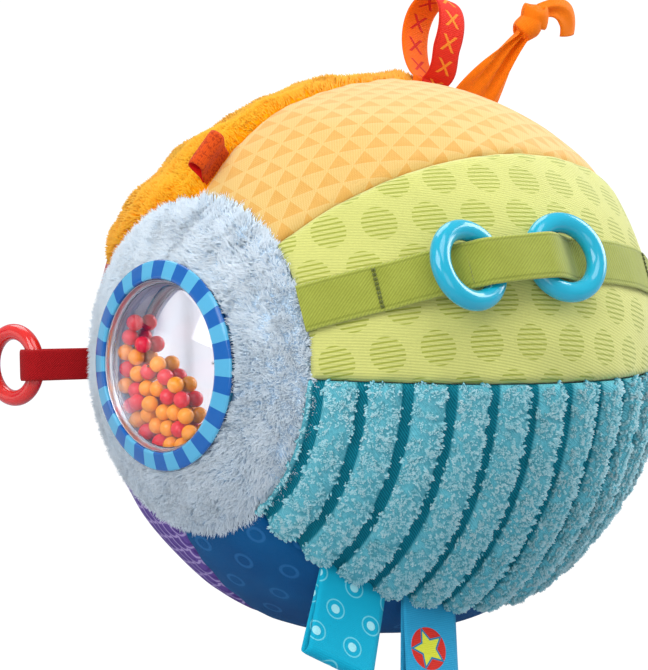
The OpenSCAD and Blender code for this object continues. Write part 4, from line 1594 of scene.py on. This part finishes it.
def circle_ribbon_finish():
    """Turquoise ribbon with pale dots, each in a thin ring."""
    f = Finish("turquoise ribbon", Roughness=0.7, Sheen_Weight=0.04, Specular_IOR_Level=0.15)
    along, across, place = f.where()
    row = f.maths("ROUND", (along - 6.5) / 9.3)
    a = f.nearest(across - 0.3 + row * 4.9, 12.2)
    b = along - 6.5 - row * 9.3
    r = f.length(a, b)
    dot = 1 - f.step(r, 1.3, 1.5)
    ring = 1 - f.step(abs(r - 2.9), 0.14, 0.3)
    ground, height = woven(f, along, place, paint(0, 146, 182), paint(4, 174, 204))
    ground = f.mix(dot * 0.9, ground, paint(166, 226, 232))
    ground = f.mix(ring * 0.75, ground, paint(120, 210, 222))
    f.set(Base_Color=ground)
    f.relief(height + dot * 0.7 + ring * 0.4, 0.1)
    return f.material


circle_spot = stand(58.5, SEAM["navy_teal"] - UNDER_SEAM, 84.98, -9)
ribbon_loop(
    "circle_ribbon_loop", circle_spot, loop_line(0.45, 1.9, 28.5 - 2.3 - 0.9), 22, 0.7,
    circle_ribbon_finish(), "circle_loop",
)

# %% Blue tab with a star
def star_ribbon_finish():
    """Blue woven ribbon; a red disc with a yellow-green five-pointed star outlined in blue."""
    f = Finish("blue ribbon", Roughness=0.7, Sheen_Weight=0.04, Specular_IOR_Level=0.15)
    along, across, place = f.where()
    a, b = across + 1.2, along - 17.0
    r = f.length(a, b)
    turn = f.maths("ARCTAN2", a, b) + 0.22
    sector = abs(f.nearest(turn, 2 * np.pi / 5))
    x, y = r * f.maths("COSINE", sector), r * f.maths("SINE", sector)
    tip_r, pit_r = 5.3, 2.5
    px, py = pit_r * np.cos(np.pi / 5), pit_r * np.sin(np.pi / 5)
    length = float(np.hypot(tip_r - px, py))
    inside = ((tip_r - x) * py - y * (tip_r - px)) / length
    star = f.step(inside, -0.08, 0.12)
    outline = f.step(inside, -0.62, -0.45)
    disc = 1 - f.step(r, 6.15, 6.35)
    ground, height = woven(f, along, place, paint(12, 124, 170), paint(50, 164, 204))
    ground = f.mix(disc, ground, paint(206, 44, 34))
    ground = f.mix(outline * disc, ground, paint(24, 118, 160))
    ground = f.mix(star * disc, ground, paint(214, 214, 60))
    f.set(Base_Color=ground)
    f.relief(height + disc * 0.5 + star * 0.5, 0.1)
    return f.material


star_spot = stand(76.5, SEAM["navy_teal"] - UNDER_SEAM, 84.93, -16)
ribbon_loop(
    "star_ribbon_tab", star_spot, loop_line(0.45, 1.3, 24 - 1.7 - 0.9), 19, 0.7,
    star_ribbon_finish(), "star_tab",
)

# %% [markdown]
# ### Label tab
#
# A short doubled tab with a woven speckle, folded low over the seam.

# %% Label tab
def plain_ribbon_finish(name, deep, pale, inner=None, speckle=0.0):
    """Plain woven ribbon with fine ribs."""
    f = Finish(name, Roughness=0.7, Sheen_Weight=0.04, Specular_IOR_Level=0.15)
    along, across, place = f.where()
    colour, height = woven(f, along, place, deep, pale, 0.5)
    blotch = f.noise(place, 0.25, 2.0)
    colour = f.mix(blotch * 0.35, colour, deep)
    colour = f.mix(f.step(f.noise(place, 1.3, 1.0), 0.5, 0.62) * speckle, colour, paint(150, 30, 0))
    if inner is not None:
        colour = f.mix(f.step(f.value("side"), -0.2, 0.2), inner, colour)
    f.set(Base_Color=colour)
    f.relief(height, 0.1)
    return f.material


label_spot = stand(42, SEAM["yellow_orange"], 86.66, -14)
label_cloth = plain_ribbon_finish(
    "label ribbon", paint(196, 50, 2), paint(226, 92, 8), paint(222, 20, 10), 0.6
)
ribbon_loop(
    "label_ribbon_tab", label_spot, loop_line(0.45, 2.2, 4.1), 12.4, 0.6, label_cloth,
    "label_tab",
)

# %% [markdown]
# ### Knotted ribbon
#
# The ribbon narrows in pleats to a neck, is tied in one knot and ends in a drooping tail. A real
# knot modelled as one band would cross itself inside, where nobody sees it. So the skirt and the
# tail are bands, and the knot is a lump with two turns of ribbon round it.

# %% Pleated skirt
knot_spot = stand(118, SEAM["yellow_orange"], 86.72, -22)
knot_root, knot_wide, knot_high, knot_thick = knot_spot
orange_cloth = plain_ribbon_finish("orange ribbon", paint(228, 98, 0), paint(252, 136, 4))
NECK_H, KNOT_H, FOOT_HALF, NECK_HALF, SKIRT_COLS = 24.4, 30.2, 8.9, 2.6, 41
y = np.linspace(-4.5, NECK_H + 1.5, 70)
up_share = np.clip(y / NECK_H, 0, 1)[:, None]
skirt_half = FOOT_HALF + (NECK_HALF - FOOT_HALF) * up_share[:, 0] ** 1.3
c = np.linspace(-1, 1, SKIRT_COLS)[None]
pleat = np.sin(c * np.pi * 2.6 + 0.6 * np.sin(up_share * 5)) * (0.25 + 1.7 * up_share ** 1.5)
pleat = pleat + 0.5 * up_share * np.sin(c * 11 + 2)
pleat = pleat + 1.5 * np.exp(-(((c - 0.7) / 0.16) ** 2)) * ease(up_share * 1.6)
skirt_line = knot_root + knot_high * y[:, None] + knot_thick * (0.5 * np.sin(y / 9))[:, None]
skirt = band(
    "knotted_ribbon_skirt", skirt_line, np.broadcast_to(-knot_wide, skirt_line.shape), skirt_half,
    0.8, SKIRT_COLS, wave=pleat,
)
finish_piece(skirt, orange_cloth, ["knotted_ribbon"], None)
edge_of(knot_spot, -0.6, 1.8)
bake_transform(skirt)
skirt_area = cloth_area(skirt)

# %% Knot
knot_middle = knot_root + knot_high * KNOT_H
HEART_ROWS, HEART_COLS = 40, 64
# Half height, half width and half depth of the lump
HEART_HALVES = np.array([5.7, 3.7, 3.3])


def wrap_band(name, axis, radius, width, thick, phase, shift):
    """One turn of ribbon round the knot: a closed band on an ellipse, creased along its length."""
    rows, cols = 72, 18
    axis = unit(axis)
    a = unit(np.cross(axis, knot_thick))
    b = np.cross(axis, a)
    t = np.linspace(0, 2 * np.pi, rows + 1)[:-1, None]
    s = np.linspace(0, 2 * np.pi, cols, endpoint=False)[None]
    fold = 0.35 * np.sin(3 * s + 2 * np.sin(t + phase)) + 0.2 * np.sin(5 * s + 3 * t)
    out = radius + (thick / 2 + 0.3 * fold) * np.cos(s) + 0.35 * np.sin(2 * t + phase)
    side = (width / 2) * np.sin(s) * (1 + 0.12 * np.sin(t * 2 + phase)) + 0.5 * np.sin(t + phase)
    spoke = np.cos(t)[..., None] * a * 0.9 + np.sin(t)[..., None] * b
    grid = knot_middle + knot_high * shift + spoke * out[..., None] + axis * side[..., None]
    cloth = np.stack([np.broadcast_to(t * radius, (rows, cols)), side], -1).reshape(-1, 2)
    piece = make_piece(name, grid.reshape(-1, 3), grid_faces(rows, cols, True, True), cloth=cloth)
    return finish_piece(piece, orange_cloth, [], "knotted_ribbon")


heart_at = sphere_grid(HEART_ROWS, HEART_COLS)
lump = direction(*heart_at)
crease = 0.35 * np.sin(lump @ (knot_high * 6 + knot_wide * 4))
crease = crease + 0.25 * np.sin(lump @ (knot_thick * 9 - knot_wide * 5))
knot_axes = np.stack([knot_high, knot_wide, knot_thick])
heart = ((lump @ knot_axes.T) * HEART_HALVES) @ knot_axes
heart = knot_middle + heart * (1 + 0.12 * crease)[..., None]
heart = make_piece(
    "knot_heart", heart.reshape(-1, 3), grid_faces(HEART_ROWS, HEART_COLS, wrap_cols=True),
    cloth=np.radians(np.stack(heart_at, -1)).reshape(-1, 2) * 4,
)
finish_piece(heart, orange_cloth, [], "knotted_ribbon")
wrap_band("knot_wrap_1", knot_high * 0.95 + knot_wide * 0.3, 3.4, 6.4, 2.3, 0.4, -1.9)
wrap_band("knot_wrap_2", knot_high * 0.8 - knot_wide * 0.6, 3.3, 6.6, 2.2, 1.9, 2.0)
print("knot middle above its seam in mm:", KNOT_H)

# %% Tail
# Bezier points of the tail's middle line: mm across and mm above the seam
tail_turns = np.array([(0.6, 34.5), (4.6, 40.0), (10.6, 40.6), (14.4, 34.0)])
s = np.linspace(0, 1, 50)[:, None]
tail_mix = np.hstack([(1 - s) ** 3, 3 * s * (1 - s) ** 2, 3 * s ** 2 * (1 - s), s ** 3])
tail_at = tail_mix @ tail_turns
tail_line = knot_root + knot_wide * tail_at[:, :1] + knot_high * tail_at[:, 1:]
tail_run = unit(np.gradient(tail_line, axis=0))
tail_roll = np.radians(8 + 16 * s)
tail_across = np.cross(tail_run, knot_thick) * np.cos(tail_roll) + knot_thick * np.sin(tail_roll)
c = np.linspace(-1, 1, 21)[None]
curl = 0.8 * (1 - s) * np.sin(c * 5) + 0.9 * s * (1 - c * c)
tail_half = 2.3 + 1.7 * ease(s[:, 0] * 1.5)
tail = band("knot_tail", tail_line, tail_across, tail_half, 0.7, 21, wave=curl)
finish_piece(tail, orange_cloth, [], "knotted_ribbon")
print("tail's end is", round(2 * float(tail_half[-1]), 1), "mm wide")

# %% [markdown]
# ## Red strap and ring
#
# A twill strap runs out of the seam, round the ring's tube and back. It is a folded tab with a
# fold as big as the tube. The ring hangs in the fold, turned out of the strap's line.

# %% Red strap
RED_AT, RED_REACH, RED_W, RED_T = (36.6, 198.6), 15.5, 9.3, 0.8
RED_RING_MID, RED_RING_TUBE, RED_RING_TURN = 9.9, 2.4, 49
red_out, red_away, red_round = direction(*RED_AT), away(*RED_AT), around(*RED_AT)
red_origin = red_out * 85.43


def red_twill_finish():
    """Dark red twill with diagonal ribs and paler worn edges."""
    f = Finish("red twill", Roughness=0.8, Sheen_Weight=0.04, Specular_IOR_Level=0.12)
    along, across, place = f.where()
    twill = f.wave(along * 0.9 + across, 0.7)
    fibre = f.noise(place, 2.6, 4.0, 0.7)
    cloth = f.mix(twill * 0.4 + fibre * 0.3, paint(176, 16, 22), paint(124, 4, 10))
    edge = f.step(abs(across), 3.9, 4.6)
    cloth = f.mix(edge * 0.3, cloth, paint(190, 52, 50))
    f.set(Base_Color=cloth)
    f.relief(twill * 0.7 + fibre * 0.5, 0.15)
    return f.material


red_spot = (red_origin, red_round, red_out, red_away)
red_line = place_line(red_spot, loop_line(0.55, 4.56, RED_REACH))
red_across = np.broadcast_to(red_round, red_line.shape)
red_band = band("red_strap_band", red_line, red_across, RED_W / 2, RED_T, 15)
finish_piece(red_band, red_twill_finish(), ["red_strap"], None)
edge_of(red_spot, -0.6, 1.6)
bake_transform(red_band)
print("red strap stands out in mm:", RED_REACH + 4.56)

# %% Red ring
turn = np.radians(RED_RING_TURN)
out_dir = red_out * np.cos(turn) + red_away * np.sin(turn)
red_ring_axis = red_away * np.cos(turn) - red_out * np.sin(turn)
red_ring_middle = red_origin + red_out * RED_REACH + out_dir * RED_RING_MID
points, quads = torus(red_ring_middle, red_ring_axis, RED_RING_MID, RED_RING_TUBE)
red_gloss = gloss_finish("red plastic", (226, 34, 26), 0.5, 0.14)
red_ring = make_piece("red_pull_ring", points, quads)
finish_piece(red_ring, red_gloss, ["red_ring"], "red_ring")
print("red ring outside in mm:", round(2 * (RED_RING_MID + RED_RING_TUBE), 1))

# %% [markdown]
# ## Camera
#
# The camera stands to the ball's front right and a little above it, with a long lens. Its place
# and its focal length in pixels were worked out from the photograph, for a picture 670 pixels high.

# %% Camera
def stand_at(thing, right, back, spot):
    """Stands a camera or lamp at a spot in m: it looks against `back`, its right side given."""
    pose = np.eye(4)
    pose[:3, 0], pose[:3, 1], pose[:3, 2], pose[:3, 3] = right, np.cross(back, right), back, spot
    thing.matrix_world = Matrix(pose.tolist())
    bpy.context.scene.collection.objects.link(thing)


VIEW_TURN, VIEW_RISE, VIEW_FAR = np.radians(49.07), np.radians(25), 1.02
FOCAL_PX, PICTURE_HIGH, SENSOR_HIGH = 3404.4, 670, 24
# How far the ball's centre lies from the picture's middle, in pixels to the right and up
OFF_RIGHT, OFF_UP = 50.5, 21
to_camera = np.array([
    np.sin(VIEW_TURN) * np.cos(VIEW_RISE), -np.cos(VIEW_TURN) * np.cos(VIEW_RISE), np.sin(VIEW_RISE)
])
level_right = np.array([np.cos(VIEW_TURN), np.sin(VIEW_TURN), 0])
level_up = np.cross(to_camera, level_right)
look = unit(-to_camera - OFF_RIGHT / FOCAL_PX * level_right + OFF_UP / FOCAL_PX * level_up)
camera_right = unit(np.cross(look, level_up))
camera_data = bpy.data.cameras.new("camera")
camera_data.sensor_fit, camera_data.sensor_height = "VERTICAL", SENSOR_HIGH
camera_data.lens = FOCAL_PX / PICTURE_HIGH * SENSOR_HIGH
camera = bpy.data.objects.new("camera", camera_data)
stand_at(camera, camera_right, -look, CENTRE / 1000 + VIEW_FAR * to_camera)
bpy.context.scene.camera = camera
print("lens in mm:", round(camera_data.lens, 2))

# %% [markdown]
# ## Floor, room and lamps
#
# A product photograph has a white ground and soft light from all sides. More light could make the
# ground white, but it would bleach the pale blue pile as well. So the floor and the room are white
# to the camera alone, the lamps light the ball at a plain level, and the floor keeps a little of
# its shadow.

# %% Floor
def floor_finish():
    """White floor: mostly plain white to the camera, with a little of the ball's shadow kept."""
    f = Finish("white floor")
    path = f.node("ShaderNodeLightPath", out="Is Camera Ray")
    diffuse = f.node("ShaderNodeBsdfDiffuse", None, {"Color": (0.42, 0.44, 0.48, 1)})
    glow = f.node("ShaderNodeEmission", None, {"Strength": 1.13})
    blend = f.node("ShaderNodeMixShader", None, {0: path * 0.9, 1: diffuse, 2: glow})
    f.tree.links.new(blend.socket, f.tree.nodes["Material Output"].inputs["Surface"])
    return f.material


mesh = bpy.data.meshes.new("floor")
mesh.from_pydata([(-6, -6, 0), (6, -6, 0), (6, 6, 0), (-6, 6, 0)], [], [(0, 1, 2, 3)])
floor = bpy.data.objects.new("floor", mesh)
bpy.context.scene.collection.objects.link(floor)
mesh.materials.append(floor_finish())
print("floor half width in m:", 6)

# %% White room
def room_light():
    """A world that is white to the camera and through the dome, and a soft pale blue light."""
    world = bpy.data.worlds.new("white room")
    world.use_nodes = True
    tree = world.node_tree
    seen, soft = tree.nodes["Background"], tree.nodes.new("ShaderNodeBackground")
    seen.inputs["Color"].default_value = (1, 1, 1, 1)
    seen.inputs["Strength"].default_value = 1.0
    soft.inputs["Color"].default_value = (0.84, 0.92, 1.0, 1)
    soft.inputs["Strength"].default_value = 0.55
    path = tree.nodes.new("ShaderNodeLightPath")
    most = tree.nodes.new("ShaderNodeMath")
    most.operation = "MAXIMUM"
    tree.links.new(path.outputs["Is Camera Ray"], most.inputs[0])
    tree.links.new(path.outputs["Is Transmission Ray"], most.inputs[1])
    pick = tree.nodes.new("ShaderNodeMixShader")
    tree.links.new(most.outputs[0], pick.inputs[0])
    tree.links.new(soft.outputs[0], pick.inputs[1])
    tree.links.new(seen.outputs[0], pick.inputs[2])
    tree.links.new(pick.outputs[0], tree.nodes["World Output"].inputs["Surface"])
    return world


bpy.context.scene.world = room_light()
print("room:", bpy.context.scene.world.name)

# %% Lamps
def soft_lamp(name, turn, height, far, size, power):
    """A square soft lamp that faces the ball: turn and height in degrees seen from the camera."""
    t, h = VIEW_TURN + np.radians(turn), np.radians(height)
    away_dir = np.array([np.sin(t) * np.cos(h), -np.cos(t) * np.cos(h), np.sin(h)])
    data = bpy.data.lights.new(name, "AREA")
    data.shape, data.size, data.energy = "SQUARE", size, power
    lamp = bpy.data.objects.new(name, data)
    level = unit(np.cross([0, 0, 1], away_dir))
    stand_at(lamp, level, away_dir, CENTRE / 1000 + away_dir * far)


# Turn and height in degrees, distance and size in m, power in W
LAMPS = {
    "key lamp": (-46, 44, 1.4, 0.9, 11.0),
    "top lamp": (60, 72, 1.3, 0.8, 6.0),
    "front lamp": (8, 20, 1.7, 0.9, 3.5),
    "side lamp": (122, 16, 1.2, 0.8, 11.0),
    "back lamp": (200, 40, 1.4, 0.9, 7.0),
}
for name, numbers in LAMPS.items():
    soft_lamp(name, *numbers)

# %% [markdown]
# ### A card for the foil
#
# Mirror foil shows what stands in front of it, and in a white room that is nothing at all. A
# photographer would hold a card there. This one is seen only in reflections, and it is no piece of
# the ball.

# %% Reflection card
def card_finish():
    """White studio card: a soft grey line and a dusky corner, for the foil to mirror."""
    f = Finish(
        "reflection card", Base_Color=(0, 0, 0, 1), Specular_IOR_Level=0.0, Emission_Strength=1.3
    )
    along, across, _ = f.parts(f.field("cloth"))
    line = 1 - f.step(abs(along - 28.3), 0.5, 4.5)
    dusk = f.step(along, 43.0, 51.0) * f.step(across, 8.0, 20.0)
    colour = f.mix(line * 0.8, paint(252, 252, 254), paint(150, 150, 156))
    f.set(Emission_Color=f.mix(dusk, colour, paint(70, 78, 128)))
    return f.material


CARD_FAR, CARD_HALF, CARD_ROLL = 500, 170, (0.926, 0.377)
# Where the foil looks, in the part's axes, and the card's level and upright directions there
card_way = np.array([-0.6836, -0.7266, -0.0690])
card_level = unit(np.cross(card_way, [0, 0, 1]))
card_upright = np.cross(card_level, card_way)
card_wide = CARD_ROLL[0] * card_level - CARD_ROLL[1] * card_upright
card_high = CARD_ROLL[1] * card_level + CARD_ROLL[0] * card_upright
card_steps = np.linspace(-CARD_HALF, CARD_HALF, 3)
u, v = np.meshgrid(card_steps, card_steps, indexing="ij")
card_middle = direction(0, 0) * 80 + BALL_AXES @ card_way * CARD_FAR
corners = card_middle + u[..., None] * (BALL_AXES @ card_wide)
corners = corners + v[..., None] * (BALL_AXES @ card_high)
card = make_piece(
    "reflection_card", corners.reshape(-1, 3), grid_faces(3, 3),
    cloth=np.stack([u, v], -1).reshape(-1, 2),
)
card.data.materials.append(card_finish())
card.visible_camera = False
card.visible_shadow = False
card.visible_diffuse = False
bpy.context.scene.view_settings.view_transform = "Standard"
print("card at mm:", CARD_FAR)

# %% [markdown]
